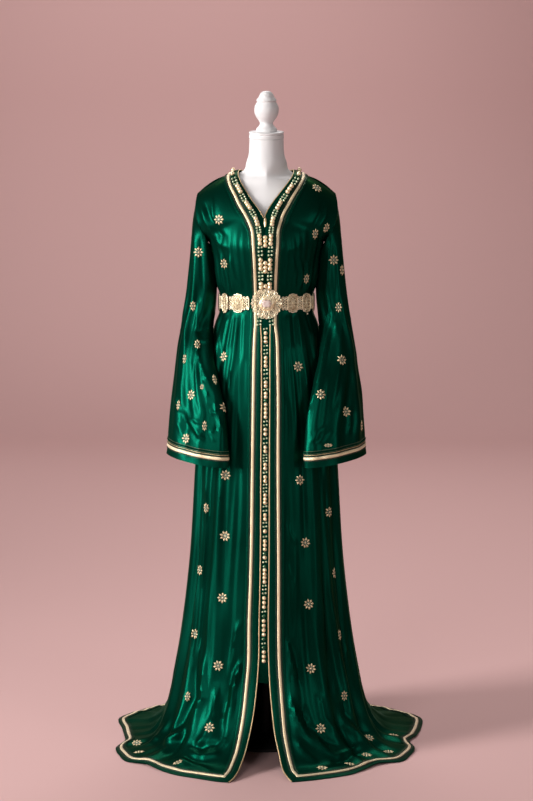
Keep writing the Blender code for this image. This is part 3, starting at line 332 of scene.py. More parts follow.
# Rows of the body below the armholes, from the armpits down to the hem on the floor.
# z and depth are given at the front, the side and the back; centre is where the opening's middle
# line runs, edge is half the opening, braid is from that edge to the middle of the braid,
# fold scales the fold tables, and lobe scales the hem's outline.
Row = namedtuple("Row", "name z_front z_side z_back front side back centre edge braid fold lobe")
BODY_ROWS = [Row(*row) for row in (
    ("armpit", 1.250, 1.250, 1.250, 0.1275, 0.1415, 0.0960, -0.003, 0.0012, 0.0281, 0.15, 0),
    ("bust", 1.212, 1.212, 1.212, 0.1245, 0.1335, 0.0955, -0.003, 0.0012, 0.0256, 0.30, 0),
    ("ribs", 1.172, 1.172, 1.172, 0.1145, 0.1295, 0.0945, -0.003, 0.0012, 0.0239, 0.45, 0),
    ("blouse", 1.146, 1.146, 1.146, 0.1050, 0.1245, 0.0930, -0.003, 0.0012, 0.0230, 0.45, 0),
    ("belt_high", 1.127, 1.127, 1.127, 0.0995, 0.1165, 0.0880, -0.003, 0.0012, 0.0226, 0.12, 0),
    ("waist", 1.104, 1.104, 1.104, 0.0980, 0.1140, 0.0870, -0.003, 0.0012, 0.0226, 0.06, 0),
    ("belt_low", 1.080, 1.080, 1.080, 0.0995, 0.1165, 0.0890, -0.003, 0.0040, 0.0200, 0.12, 0),
    ("flare", 1.058, 1.058, 1.058, 0.1045, 0.1250, 0.0990, -0.003, 0.0105, 0.0132, 0.35, 0),
    ("high_hip", 1.018, 1.018, 1.018, 0.1150, 0.1370, 0.1140, -0.002, 0.0105, 0.0165, 0.45, 0),
    ("hip", 0.955, 0.955, 0.955, 0.1270, 0.1510, 0.1330, -0.002, 0.0103, 0.0185, 0.55, 0),
    ("seat", 0.875, 0.875, 0.875, 0.1360, 0.1620, 0.1500, -0.002, 0.0100, 0.0200, 0.65, 0),
    ("thigh", 0.765, 0.765, 0.765, 0.1450, 0.1730, 0.1645, -0.003, 0.0103, 0.0202, 0.75, 0),
    ("knee", 0.440, 0.440, 0.440, 0.1740, 0.1955, 0.1955, -0.005, 0.0108, 0.0230, 1.05, 0),
    ("shin", 0.330, 0.330, 0.330, 0.1860, 0.2085, 0.2105, -0.007, 0.0112, 0.0245, 1.20, 0),
    ("opening", 0.240, 0.240, 0.240, 0.2000, 0.2220, 0.2270, -0.007, 0.0125, 0.0245, 1.30, 0),
    ("calf", 0.180, 0.182, 0.182, 0.2150, 0.2330, 0.2420, -0.008, 0.0165, 0.0250, 1.40, 0),
    ("ankle", 0.126, 0.128, 0.128, 0.2360, 0.2440, 0.2600, -0.009, 0.0225, 0.0240, 1.50, 0.05),
    ("instep", 0.080, 0.082, 0.082, 0.2640, 0.2580, 0.2800, -0.011, 0.0305, 0.0225, 1.40, 0.10),
    ("toe", 0.0455, 0.043, 0.045, 0.2950, 0.2790, 0.3010, -0.012, 0.0400, 0.0210, 1.10, 0.25),
    ("pool", 0.0240, 0.018, 0.020, 0.3200, 0.3060, 0.3270, -0.014, 0.0475, 0.0215, 0.60, 0.50),
    ("band_top", 0.0115, 0.0075, 0.008, 0.3480, 0.3585, 0.3725, -0.015, 0.0560, 0.0220, 0.20, 0.88),
    ("braid_top", 0.0092, 0.0055, 0.006, 0.3560, 0.3668, 0.3810, -0.015, 0.0590, 0.0230, 0.10, 0.92),
    ("braid_foot", 0.0060, 0.0040, 0.004, 0.3655, 0.3760, 0.3905, -0.015, 0.0630, 0.0240, 0.05, 0.96),
    ("hem", 0.0018, 0.0018, 0.0018, 0.3800, 0.3850, 0.4000, -0.016, 0.0720, 0.0250, 0.00, 1.00),
)]

# Rows of the yoke, from the shoulder seam down. neck and arm are the row's two ends, bulge is how
# far its middle stands out from the straight line between them, and centre and braid are as above.
YokeRow = namedtuple("YokeRow", "name neck arm bulge centre braid fold")
FRONT_YOKE = [YokeRow(*row) for row in (
    ("shoulder", (0.067, 0.006, 1.428), (0.169, 0.004, 1.372), (0.0, 0.0, 0.006), 0.0, 0.027, 0),
    ("yoke_1", (0.067, -0.03, 1.416), (0.1725, -0.02, 1.355), (0.002, -0.004, 0.008), -0.004, 0.027, 0),
    ("yoke_2", (0.0585, -0.05, 1.398), (0.1735, -0.037, 1.333), (0.003, -0.01, 0.008), -0.007, 0.028, 0),
    ("yoke_3", (0.0425, -0.067, 1.3745), (0.17, -0.049, 1.31), (0.006, -0.015, 0.006), -0.009, 0.0285, 0),
    ("yoke_4", (0.0245, -0.083, 1.349), (0.1635, -0.052, 1.29), (0.012, -0.018, 0.003), -0.01, 0.029, 0.05),
    (
        "yoke_5", (0.0095, -0.096, 1.3275), (0.156, -0.045, 1.2735), (0.019, -0.02, 0.001), -0.008, 0.0285,
        0.05
    ),
    ("vee", (0.0015, -0.105, 1.311), (0.149, -0.028, 1.2605), (0.024, -0.022, 0.0), -0.006, 0.0285, 0.1),
    ("chest", (0.0012, -0.118, 1.282), (0.1445, -0.013, 1.2535), (0.026, -0.025, 0.0), -0.004, 0.023, 0.1),
)]
BACK_YOKE = [YokeRow(*row) for row in (
    ("shoulder", (0.067, 0.006, 1.428), (0.169, 0.004, 1.372), (0.0, 0.0, 0.006), 0, 0, 0),
    ("yoke_1", (0.065, 0.0228, 1.416), (0.1725, 0.022, 1.355), (0.002, 0.004, 0.008), 0, 0, 0),
    ("yoke_2", (0.064, 0.03, 1.4107), (0.1735, 0.038, 1.333), (0.003, 0.009, 0.007), 0, 0, 0),
    ("yoke_3", (0.063, 0.0365, 1.406), (0.17, 0.048, 1.31), (0.006, 0.013, 0.005), 0, 0, 0),
    ("yoke_4", (0.052, 0.059, 1.371), (0.1635, 0.05, 1.29), (0.012, 0.015, 0.003), 0, 0, 0),
    ("yoke_5", (0.045, 0.074, 1.333), (0.156, 0.043, 1.2735), (0.015, 0.014, 0.001), 0, 0, 0),
    ("vee", (0.042, 0.083, 1.303), (0.149, 0.028, 1.2605), (0.016, 0.015, 0.0), 0, 0, 0),
    ("chest", (0.04, 0.089, 1.276), (0.1445, 0.013, 1.2535), (0.014, 0.014, 0.0), 0, 0, 0),
)]
BACK_NECK = [  # depth and height of the back panel's middle on each yoke row
    (0.0560, 1.4180),
    (0.0650, 1.3995),
    (0.0690, 1.3910),
    (0.0725, 1.3835),
    (0.0800, 1.3570),
    (0.0860, 1.3280),
    (0.0905, 1.3010),
    (0.0935, 1.2750),
]

# Fold tables: how far each station of a row is lifted out of the plain outline at fold scale 1.
# A front panel's stations run from the band to the side seam, the back's from its middle to a side.
FRONT_SHARES = [0.0, 0.11, 0.22, 0.33, 0.44, 0.55, 0.66, 0.77, 0.885, 1.0]
RIGHT_FOLDS = [0.0, -0.001, 0.001, 0.006, -0.004, 0.006, -0.006, 0.004, -0.005, 0.0]
LEFT_FOLDS = [0.0, 0.001, -0.001, 0.003, -0.003, 0.004, -0.005, 0.006, -0.005, 0.0]
BACK_FOLDS = [0.006, -0.005, 0.004, -0.002, 0.005, -0.006, 0.005, -0.005, 0.0]
BACK_STATIONS = len(BACK_FOLDS) - 1
NECK_STATION = 2  # the back panel's station at the neck point
BACK_BAND = (0.021, 0.030, 0.038)  # braid and band lines beyond the neck point, on the shoulder

# The hem's outline on the floor: angle from the front, how far it swings out on the wearer's right
# and left, and how far it lifts.
HEM_LOBES = [
    (0, 0.004, 0.003, 0.000),
    (13, 0.008, 0.004, 0.000),
    (24, 0.000, 0.000, 0.000),
    (33, 0.000, 0.000, 0.000),
    (41, -0.004, -0.010, 0.002),
    (49, -0.008, -0.015, 0.004),
    (57, 0.013, 0.013, 0.000),
    (65, 0.008, 0.008, 0.000),
    (73, 0.002, 0.002, 0.002),
    (81.5, -0.028, -0.022, 0.004),
    (90, -0.024, -0.004, 0.003),
    (101, -0.006, 0.022, 0.000),
    (112.5, 0.034, 0.053, 0.000),
    (124, 0.021, 0.030, 0.003),
    (135, 0.021, 0.021, 0.000),
    (146, 0.010, 0.012, 0.005),
    (157, 0.012, 0.010, 0.000),
    (168, 0.004, 0.004, 0.004),
    (180, 0.000, 0.000, 0.000),
]

# Rows of a sleeve: its outer and inner edges, and how far it bulges to the front and to the back.
SleeveRow = namedtuple("SleeveRow", "name outer inner front back fold")
SLEEVE_ROWS = [SleeveRow(*row) for row in (
    ("head", (0.1800, 0.003, 1.314), (0.1290, 0.004, 1.224), 0.050, 0.046, 0.1),
    ("biceps", (0.1848, 0.003, 1.264), (0.1240, -0.002, 1.178), 0.046, 0.040, 0.2),
    ("arm", (0.1898, 0.002, 1.206), (0.1226, -0.006, 1.140), 0.043, 0.038, 0.4),
    ("waist", (0.1960, 0.000, 1.140), (0.1250, -0.010, 1.106), 0.039, 0.036, 0.6),
    ("elbow", (0.2030, -0.003, 1.068), (0.1330, -0.030, 1.050), 0.037, 0.025, 0.8),
    ("forearm", (0.2115, -0.008, 0.998), (0.1320, -0.077, 0.986), 0.038, 0.013, 0.7),
    ("swing", (0.2195, -0.016, 0.930), (0.1170, -0.118, 0.918), 0.041, 0.013, 0.8),
    ("wide", (0.2275, -0.026, 0.866), (0.1030, -0.140, 0.850), 0.045, 0.014, 0.9),
    ("mouth", (0.2325, -0.034, 0.812), (0.0945, -0.154, 0.790), 0.048, 0.015, 0.9),
    ("band_top", (0.2355, -0.039, 0.772), (0.0915, -0.162, 0.748), 0.050, 0.016, 0.5),
    ("braid_top", (0.2362, -0.040, 0.762), (0.0910, -0.163, 0.738), 0.050, 0.016, 0.3),
    ("braid_foot", (0.2372, -0.041, 0.7525), (0.0908, -0.164, 0.728), 0.050, 0.016, 0.2),
    ("cuff", (0.2395, -0.043, 0.736), (0.0915, -0.165, 0.711), 0.050, 0.016, 0.1),
)]
SLEEVE_FOLDS = [0.0, 0.003, -0.003, 0.003, -0.004, 0.003, -0.003, 0.003]  # repeats round the ring
print("rows:", len(BODY_ROWS), "yoke rows:", len(FRONT_YOKE), "sleeve rows:", len(SLEEVE_ROWS))

# %% Points of the cloth
def unit(vectors):
    return vectors / np.linalg.norm(vectors, axis=-1, keepdims=True)


def swept(table, angle, column):
    return float(np.interp(angle, [row[0] for row in table], [row[column] for row in table]))


def body_point(row, angle, lift):
    """A point of a body row; angle is in degrees from the middle of the front, towards +X."""
    turn = math.radians(abs(angle))
    ahead = math.cos(turn)
    depth, height = (row.front, row.z_front) if ahead >= 0 else (row.back, row.z_back)
    out = np.array([row.side * math.sin(turn), -depth * ahead])
    outward = out / np.linalg.norm(out)
    share = ahead * ahead
    z = height * share + row.z_side * (1 - share)
    swing = swept(HEM_LOBES, abs(angle), 2 if angle > 0 else 1)
    out = out + outward * (lift * row.fold + swing * row.lobe)
    z += swept(HEM_LOBES, abs(angle), 3) * row.lobe
    x = math.copysign(out[0], angle) + row.centre * max(0.0, 1 - abs(angle) / 90)
    return (x, out[1], z)


def opening_angles(row):
    """Angles of the opening's edge, the braid's two sides and the band's outer line."""
    middle = row.edge + row.braid
    lines = (row.edge, middle - BRAID_WIDTH / 2, middle + BRAID_WIDTH / 2)
    lines += (middle + BRAID_WIDTH / 2 + BAND_MARGIN,)
    return [math.degrees(math.asin(line / row.side)) for line in lines]


def yoke_point(row, share, lift):
    """A point of a yoke row, at a share of the way from the neck to the armhole."""
    neck, arm, bulge = (np.array(part) for part in (row.neck, row.arm, row.bulge))
    point = neck + (arm - neck) * share + 4 * share * (1 - share) * bulge
    outward = bulge / np.linalg.norm(bulge)
    return point + outward * lift * row.fold


def yoke_shares(row):
    """Shares of a front yoke row at its edge, the braid's two sides and the band's outer line."""
    length = np.linalg.norm(np.array(row.arm) - np.array(row.neck))
    half = BRAID_WIDTH / 2 * row.braid / FRONT_YOKE[0].braid
    margin = BAND_MARGIN * row.braid / FRONT_YOKE[0].braid
    return [line / length for line in (0.0, row.braid - half, row.braid + half, row.braid + half + margin)]


def front_grid(side):
    """The outer face of a front panel; side is 1 for the wearer's left and -1 for the right."""
    folds = LEFT_FOLDS if side > 0 else RIGHT_FOLDS
    rows = []
    for row in FRONT_YOKE:
        lines = yoke_shares(row)
        points = [yoke_point(row, share, 0.0) for share in lines[:3]]
        for share, lift in zip(FRONT_SHARES, folds):
            points.append(yoke_point(row, lines[3] + (1 - lines[3]) * share, lift))
        arm = row.arm[0]
        rows.append([(side * x + row.centre * (1 - x / arm), y, z) for x, y, z in points])
    for row in BODY_ROWS:
        lines = opening_angles(row)
        points = [body_point(row, side * angle, 0.0) for angle in lines[:3]]
        for share, lift in zip(FRONT_SHARES, folds):
            points.append(body_point(row, side * (lines[3] + (90 - lines[3]) * share), lift))
        rows.append(points)
    return np.array(rows)


def back_yoke_halves():
    """Half of each back yoke row, from the panel's middle to the armhole.

    Beyond the neck point the first three rows and stations lie on arcs round it, which is how the
    band turns from the back of the neck up to the shoulder.
    """
    seam = BACK_YOKE[0]
    corner = np.array(seam.neck)
    length = np.linalg.norm(np.array(seam.arm) - corner)
    turn = len(BACK_BAND)
    on_seam = [yoke_point(seam, line / length, 0.0) for line in BACK_BAND]
    halves = []
    for number, (row, middle) in enumerate(zip(BACK_YOKE, BACK_NECK)):
        half = [(0.0, *middle)]
        for step in range(1, NECK_STATION + 1):
            share = step / NECK_STATION
            y = middle[0] + (row.neck[1] - middle[0]) * share**2
            z = middle[1] + (row.neck[2] - middle[1]) * share**2
            half.append((row.neck[0] * share, y, z))
        plain = BACK_STATIONS - NECK_STATION
        start = row
        if number <= turn:
            for step in range(1, turn + 1):
                arc = max(step, number) - 1
                if number <= step:
                    angle = math.pi / 4 * number / step
                else:
                    angle = math.pi / 2 - math.pi / 4 * step / number
                down = np.array(BACK_YOKE[arc + 1].neck) - corner
                half.append(corner + (on_seam[arc] - corner) * math.cos(angle) + down * math.sin(angle))
            start = row._replace(neck=tuple(half[-1]))
            plain -= turn
        for step in range(1, plain + 1):
            half.append(yoke_point(start, step / plain, 0.0))
        halves.append([tuple(float(value) for value in point) for point in half])
    return halves


def back_grid():
    """The outer face of the back panel, from the wearer's right side to the left."""
    rows = []
    for half in back_yoke_halves():
        rows.append([(-x, y, z) for x, y, z in reversed(half)] + half[1:])
    for row in BODY_ROWS:
        angles = [180 - 90 * step / BACK_STATIONS for step in range(BACK_STATIONS + 1)]
        left = [body_point(row, angle, lift) for angle, lift in zip(angles, BACK_FOLDS)]
        right = [body_point(row, -angle, lift) for angle, lift in zip(angles, BACK_FOLDS)]
        rows.append(right[:0:-1] + left)
    return np.array(rows)


def armhole_ring(front, back, side):
    """The armhole's edge, from the shoulder round the front to the armpit and up the back."""
    yoke = len(FRONT_YOKE)
    column = -1 if side > 0 else 0
    down = [front[row, -1] for row in range(yoke + 1)]
    up = [back[row, column] for row in range(yoke - 1, 0, -1)]
    return np.array(down + up)


def sleeve_grid(ring, side):
    """The outer face of a sleeve: the armhole's ring, then one ring for each row of the table."""
    count = len(ring)
    start = ring + np.array([side * 0.0007, 0.0, -0.0002])
    rows = [start]
    for row in SLEEVE_ROWS:
        outer, inner = np.array(row.outer), np.array(row.inner)
        middle, reach = (outer + inner) / 2, (outer - inner) / 2
        forward = unit(np.array([reach[1], -reach[0], 0.0]))
        points = []
        for step in range(count):
            turn = 2 * math.pi * step / count
            bulge = row.front if math.sin(turn) >= 0 else row.back
            spoke = reach * math.cos(turn) + forward * bulge * math.sin(turn)
            lift = SLEEVE_FOLDS[step % len(SLEEVE_FOLDS)] * row.fold
            points.append(middle + spoke + unit(spoke) * lift)
        rows.append([(side * x, y, z) for x, y, z in points])
    return np.array(rows)


front_left, front_right, back = front_grid(1), front_grid(-1), back_grid()
print("front:", front_left.shape, "back:", back.shape)

# %% [markdown]
# The rows are too far apart for cloth. A smooth curve is run through them, first down the panel and
# then across it, and cut into steps of four millimetres, or six on the back.

# %% Finer grids
STEP, BACK_STEP = 0.0040, 0.0060


def finer(grid, step, ring=False):
    """Points on smooth curves through a grid's rows, and where each old row has gone."""
    if ring:
        grid = np.concatenate([grid[-2:], grid, grid[:3]])
    gaps = np.linalg.norm(np.diff(grid, axis=0), axis=2).mean(axis=1)
    rates = np.diff(grid, axis=0) / gaps[:, None, None]
    slopes = np.empty_like(grid)
    before, after = gaps[:-1, None, None], gaps[1:, None, None]
    slopes[1:-1] = (rates[:-1] * after + rates[1:] * before) / (before + after)
    slopes[0], slopes[-1] = rates[0], rates[-1]
    points, places = [], []
    for index, gap in enumerate(gaps):
        if ring and not 2 <= index < len(grid) - 3:
            continue
        count = max(1, round(gap / step))
        t = (np.arange(count) / count)[:, None, None]
        places.append(sum(len(part) for part in points))
        points.append(
            (2 * t**3 - 3 * t**2 + 1) * grid[index]
            + (t**3 - 2 * t**2 + t) * gap * slopes[index]
            + (3 * t**2 - 2 * t**3) * grid[index + 1]
            + (t**3 - t**2) * gap * slopes[index + 1]
        )
    if not ring:
        places.append(sum(len(part) for part in points))
        points.append(grid[-1:])
    return np.concatenate(points), places


def turned_grid(grid, step, ring=False):
    """The same across the panel."""
    points, places = finer(grid.transpose(1, 0, 2), step, ring)
    return points.transpose(1, 0, 2), places


def facing(grid, ring=False):
    """The way that each point of a grid faces, away from the middle of the gown."""
    if ring:
        wide = np.concatenate([grid[:, -1:], grid, grid[:, :1]], axis=1)
        across = (wide[:, 2:] - wide[:, :-2])
        centre = grid.mean(axis=1, keepdims=True)
    else:
        across = np.gradient(grid, axis=1)
        centre = np.array([0.0, 0.0, 0.0]) * grid
        centre[..., 2] = grid[..., 2]
    down = np.gradient(grid, axis=0)
    normals = unit(np.cross(across, down) + 1e-12)
    return -normals if ((grid - centre) * normals).sum() < 0 else normals


Panel = namedtuple("Panel", "points normals rows columns ring")


def panel_of(grid, ring=False, step=STEP):
    points, rows = finer(grid, step)
    points, columns = turned_grid(points, step, ring)
    return Panel(points, facing(points, ring), rows, columns, ring)


left_ring = armhole_ring(front_left, back, 1)
right_ring = armhole_ring(front_right, back, -1)
panels = {
    "front_left": panel_of(front_left),
    "front_right": panel_of(front_right),
    "back": panel_of(back, step=BACK_STEP),
    "sleeve_left": panel_of(sleeve_grid(left_ring, 1), ring=True),
    "sleeve_right": panel_of(sleeve_grid(right_ring, -1), ring=True),
}
for name, panel in panels.items():
    print(name, panel.points.shape)

# %% [markdown]
# ## Creases
# Satin creases where it is pulled or where it piles up, and the long soft ridges are what the eye
# reads. Each crease is a line drawn as it is seen in the picture, with a width in pixels and a height
# in millimetres. Points near the line are moved along the way they face, and a line fades out at
# both of its ends. A height under nought makes a valley.

# %% Draw the creases
# Each row gives a crease's width and height, and then the column and row of every point.
CREASES = {
    "front_right": """
    2.6 4.0: 199.1 201.2, 205.6 220.7, 213.2 233.7, 220.8 244.6, 232 250
    2.4 -3.0: 204 199, 210 218, 219 233, 228 240
    2.2 3.0: 228.4 253.2, 231.6 268.4, 237 281.4, 243.5 292.3
    1.6 2.4: 220.8 252, 221.9 268.4, 225 284.7, 228 296
    1.4 2.2: 216.4 253.2, 218.6 273.8, 221.9 290
    1.6 2.2: 228.4 268, 231 282, 234 295
    1.6 -2.4: 224 254, 226 270, 230 290
    1.6 -2.2: 218.4 250, 219.6 268, 223 290
    1.6 1.4: 212 195, 213 221
    1.8 3.0: 238.4 311.5, 235.8 334.4, 233.5 359.7, 230 378, 228.9 391.8, 231.2 408
    1.6 -2.6: 234 312, 231 334, 228 352
    1.6 2.8: 228.9 313.5, 224.3 334.4, 222 352
    1.6 -2.2: 224 314, 220 332, 218 346
    1.8 1.8: 245 311, 243.8 336.7, 245 364.3
    2.0 -1.8: 241.4 311, 240 336.7, 239 370
    3.2 3.2: 218.6 330, 216.3 351.7, 217.4 370, 219 400
    1.8 3.4: 206.8 455, 206 490.5, 207.5 525.7, 205.2 556.3, 203 593, 198.4 639, 190 690
    2.2 -3.4: 203.2 450, 202.4 490.5, 203 525.7, 200.6 556.3, 198 593, 193.4 639, 185 690
    3.2 2.8: 212.9 450, 212.9 504.3, 212.1 531.8, 210.6 562.4, 209 605.3, 204.5 669.5, 203 690
    1.8 2.0: 222.8 470, 219 508.9, 217.5 541, 216 600
    2.4 -2.0: 226 470, 224 540, 222 620
    2.0 2.4: 245.8 612, 236.6 631.3, 232 654, 228 690
    1.6 2.6: 244 655, 237 675.7, 231 700, 224 735
    1.8 -2.2: 240 650, 232 672, 226 700, 217 738
    2.0 4.0: 203 640, 202.6 697.3, 190 725, 176 742, 158 756
    2.4 -4.0: 196 650, 194 697.3, 182.2 722, 166 738
    1.8 3.6: 217 680, 214 715, 204 738, 190 752
    1.6 2.6: 236 690, 230 722, 224 742, 212 756
    1.6 2.6: 241 712, 236 740, 229 757
    2.0 3.2: 190 752, 203 757, 222 753
    2.0 -3.0: 186 744, 203 748, 220 742
    2.0 3.0: 150 741, 170 738, 186 730
    1.8 -2.6: 148 747, 168 746, 184 738
    1.8 2.6: 160 762, 178 760, 196 766
    1.6 2.0: 170 768, 190 764, 214 772
    """,
    "front_left": """
    2.2 2.4: 329.2 203, 324.9 216.4, 318.3 229.4, 312 244
    2.2 -2.0: 325 200, 319 216, 312 230
    3.5 2.0: 281 254.3, 290 250, 301 246
    1.6 2.0: 293.4 257.6, 294.6 272, 294.6 290
    1.4 1.8: 300 258, 302 272, 300.5 290
    1.6 2.2: 306.4 257.6, 307.5 273.8, 305.3 291
    1.5 -2.2: 303.4 256, 304.8 272, 303 290
    1.5 -2.0: 297 256, 298.6 272, 297.6 290
    1.4 1.6: 286 262, 285 276, 283 291
    1.8 2.0: 288 311, 289 330, 290.6 352
    1.6 -2.0: 292.6 311, 294 330, 295.4 350
    1.8 2.2: 297 311, 299.4 328, 302 350
    1.6 -3.0: 305.4 311, 309.2 322, 313 334
    2.0 2.2: 309 312, 313.6 326, 317 346
    2.6 2.0: 286 340, 286 372, 287 410
    2.0 3.0: 323.8 450, 323 501, 326.9 547, 330 593, 334.6 623.6, 342.2 690
    2.2 -3.4: 327.4 450, 327.4 501, 331.2 547, 335 593, 339.6 623.6, 347.2 690
    2.0 2.2: 318 470, 317.4 520, 320 580, 326 640
    1.8 2.4: 333 513.5, 337.6 554.8, 345.3 640, 350 690
    1.8 1.8: 284.6 520, 290 534, 297 546
    1.8 1.8: 285 560, 291 578, 297 590
    1.6 2.4: 284.4 636, 289 655, 294 676
    1.8 -2.0: 290 636, 296 660, 301 690
    1.8 3.0: 288 690, 294 716, 306 735, 328 752, 346 760
    2.0 -3.2: 299 700, 309 724, 326 740, 346 750
    1.8 3.2: 333 680, 334 704, 342 724, 362 738, 386 748
    2.2 -3.6: 342 690, 346 714, 360 728, 380 738
    1.6 2.8: 318 690, 324 718, 336 736
    1.6 2.4: 285.6 664, 288.6 700, 299 724
    1.6 2.4: 292 735, 302 752, 318 764
    1.8 2.6: 334 757, 348 752, 362 744
    1.6 -2.2: 330 763, 346 760, 362 752
    1.6 2.2: 322 770, 340 768, 354 762
    """,
    "sleeve_right": """
    2.6 3.6: 186.4 322, 184.7 355.1, 183.5 373.5, 181.8 387.3, 183 403.3, 190 419
    1.6 3.2: 196.7 338, 197.9 355, 202.5 368.9, 207.6 380.4, 212 396
    1.4 2.6: 200.8 366, 204.6 385, 208.4 398.7, 210.5 411
    2.0 -3.6: 193.4 350, 192.6 374.6, 193.4 387.3, 195 403.3, 200 420.6
    1.4 -2.4: 198.4 362, 200.6 385, 203.6 399, 206 414
    1.4 3.0: 214.6 398, 216.4 410, 219 422, 223.4 436
    1.4 -2.6: 212.4 406, 214 420, 217.6 436
    1.4 3.0: 186 406, 189.4 420.6, 197.9 434, 206.9 443.4
    1.6 -2.8: 184 418, 190.4 430, 199 443
    1.4 3.0: 176 420, 181 430, 184 441
    1.6 -2.6: 179 408, 184 420, 188 434
    1.4 2.8: 205 421, 210.6 430, 216 443.4
    1.4 2.4: 209.6 408, 213.2 414, 217.6 410
    1.4 2.4: 173 396, 177.6 404, 180 414
    1.6 2.8: 188.4 424, 192.6 419, 200 424
    1.8 -2.6: 194 331, 203 331.4, 211 329
    1.8 3.0: 194.6 336, 203 341, 212.4 340.4
    2.0 2.6: 194.4 222, 194.8 250, 193.6 280, 192.6 310
    1.8 -2.4: 199.6 230, 201.6 262, 203.6 300
    2.0 2.4: 204 236, 207 262, 211 290
    1.8 2.2: 199 300, 197 314, 196.6 330
    """,
    "sleeve_left": """
    1.4 2.8: 335.5 300, 327.5 336.7, 323.4 355, 318 380.3, 308.6 414.7, 305 440
    1.4 -2.2: 338.5 306, 331.5 336.7, 327.4 358, 322 384, 313.6 414.7
    1.4 2.0: 331 300, 323.6 334, 318.6 358
    1.8 2.2: 341.2 318, 340.6 340, 338 366
    2.2 2.6: 348.1 345.9, 347 364.2, 345.8 382.6, 341.4 408, 338 426
    2.2 -2.6: 343.6 352, 342 372, 339 392, 334 414
    1.8 2.8: 354 362, 357.4 400, 360 436
    1.5 -2.6: 352.6 410, 353.4 424, 352.4 437
    1.5 2.6: 348.6 404, 351 420, 347.6 437
    1.6 2.4: 328 424, 318 433, 310 444
    1.6 -2.0: 331 431, 322 439, 314 445
    1.4 1.8: 336 432, 328 438, 320 445
    2.0 2.4: 338.6 224, 340 250, 342.6 280, 345.6 318
    1.8 -2.2: 334 240, 335 266, 336.6 300
    1.8 2.0: 330.6 236, 329 262, 327 290
    """,
}


def creases_of(table):
    """The width, height and line of every crease in a table."""
    found = []
    for row in table.strip().splitlines():
        size, line = row.split(":")
        width, height = map(float, size.split())
        found.append((width, height, [tuple(map(float, spot.split())) for spot in line.split(",")]))
    return found


def near_line(spots, line):
    """How far each spot is from a drawn line, and how far along the line it is, from 0 to 1."""
    line = np.array(line, float)
    lengths = np.linalg.norm(np.diff(line, axis=0), axis=1)
    best = np.full(spots.shape[:-1], 1e9)
    where = np.zeros(spots.shape[:-1])
    for index, length in enumerate(lengths):
        start, along = line[index], (line[index + 1] - line[index]) / length
        at = np.clip((spots - start) @ along, 0, length)
        far = np.linalg.norm(spots - start - at[..., None] * along, axis=-1)
        closer = far < best
        best = np.where(closer, far, best)
        where = np.where(closer, (lengths[:index].sum() + at) / lengths.sum(), where)
    return best, where


def eased(value, low, high):
    """0 up to low, 1 from high on, and a soft step between."""
    t = np.clip((value - low) / (high - low), 0, 1)
    return t * t * (3 - 2 * t)


def crease_lift(name):
    panel = panels[name]
    spots = seen(panel.points)
    lift = np.zeros(spots.shape[:2])
    for width, height, line in creases_of(CREASES.get(name, "")):
        far, along = near_line(spots, line)
        ends = eased(along, 0.0, 0.22) * eased(1 - along, 0.0, 0.22)
        pooled = 1.9 if line[0][1] > 630 else 1.0  # creases on the floor are the deepest and widest
        wide = width * (1.6 if pooled > 1 else 1.0)
        lift += height * 0.001 * pooled * np.exp(-((far / wide) ** 2)) * ends
    lift *= eased(-panel.normals[..., 1], 0.0, 0.35)
    return lift


lifts = {name: crease_lift(name) for name in panels}
print({name: round(float(np.abs(lift).max()) * 1000, 1) for name, lift in lifts.items()})

# %% [markdown]
# The back isn't seen in the picture. It gets what such a gown has there: long folds that start at
# the gathers under the belt and open towards the floor, and small gathers above the belt.

# %% Folds of the back, and the edges of every panel
def wave(place, seed):
    """A smooth, uneven wave: a sum of sines whose phases come from the seed."""
    return (
        np.sin(place * 9.0 + seed) * 0.5
        + np.sin(place * 17.0 + seed * 2.3) * 0.32
        + np.sin(place * 31.0 + seed * 4.1) * 0.18
    )


def back_folds():
    panel = panels["back"]
    points = panel.points
    angle = np.arctan2(points[..., 0], points[..., 1])
    height = points[..., 2]
    low = eased(-height, -1.06, -0.75) * (1 - eased(-height, -0.10, -0.03))
    skirt = wave(angle * 2.1 + (1.1 - height) * 0.25, 1.7) * 0.0035 * low
    gathers = np.sin(angle * 42.0 + 3 * np.sin(angle * 5)) * 0.0013
    near_belt = np.exp(-(((height - 1.104) / 0.055) ** 2)) * eased(np.abs(height - 1.104), 0.018, 0.03)
    pooled = wave(angle * 4.0 + height * 9.0, 0.4) * 0.003 * (1 - eased(height, 0.02, 0.10))
    return skirt + gathers * near_belt + pooled


def side_folds(name):
    """Slack folds on the rear half of a sleeve."""
    panel = panels[name]
    points = panel.points
    angle = np.arctan2(*(points - points.mean(axis=1, keepdims=True))[..., :2].transpose(2, 0, 1))
    slack = wave(angle * 1.3 + points[..., 2] * 2.2, 2.9) * 0.0022
    return slack * eased(panel.normals[..., 1], 0.0, 0.4)


def edge_fade(panel, reach=0.012):
    """0 at the seams and at the band, 1 a little way in."""
    points = panel.points
    down = np.concatenate([[0], np.cumsum(np.linalg.norm(np.diff(points, axis=0), axis=2).mean(axis=1))])
    fade = eased(down, 0.0, reach * 2)
    fade = fade[:, None] * eased(down[-1] - down, 0.0, reach * 2)[:, None]
    if not panel.ring:
        across = np.linalg.norm(np.diff(points, axis=1), axis=2)
        across = np.concatenate([np.zeros((len(points), 1)), np.cumsum(across, axis=1)], axis=1)
        fade = fade * eased(across[:, -1:] - across, 0.0, reach)
        has_band = panel.columns[3] < 40 and len(panel.columns) < 14
        start = across[:, panel.columns[3]][:, None] if has_band else 0.0
        fade = fade * eased(across - start, 0.0, reach)
    return fade


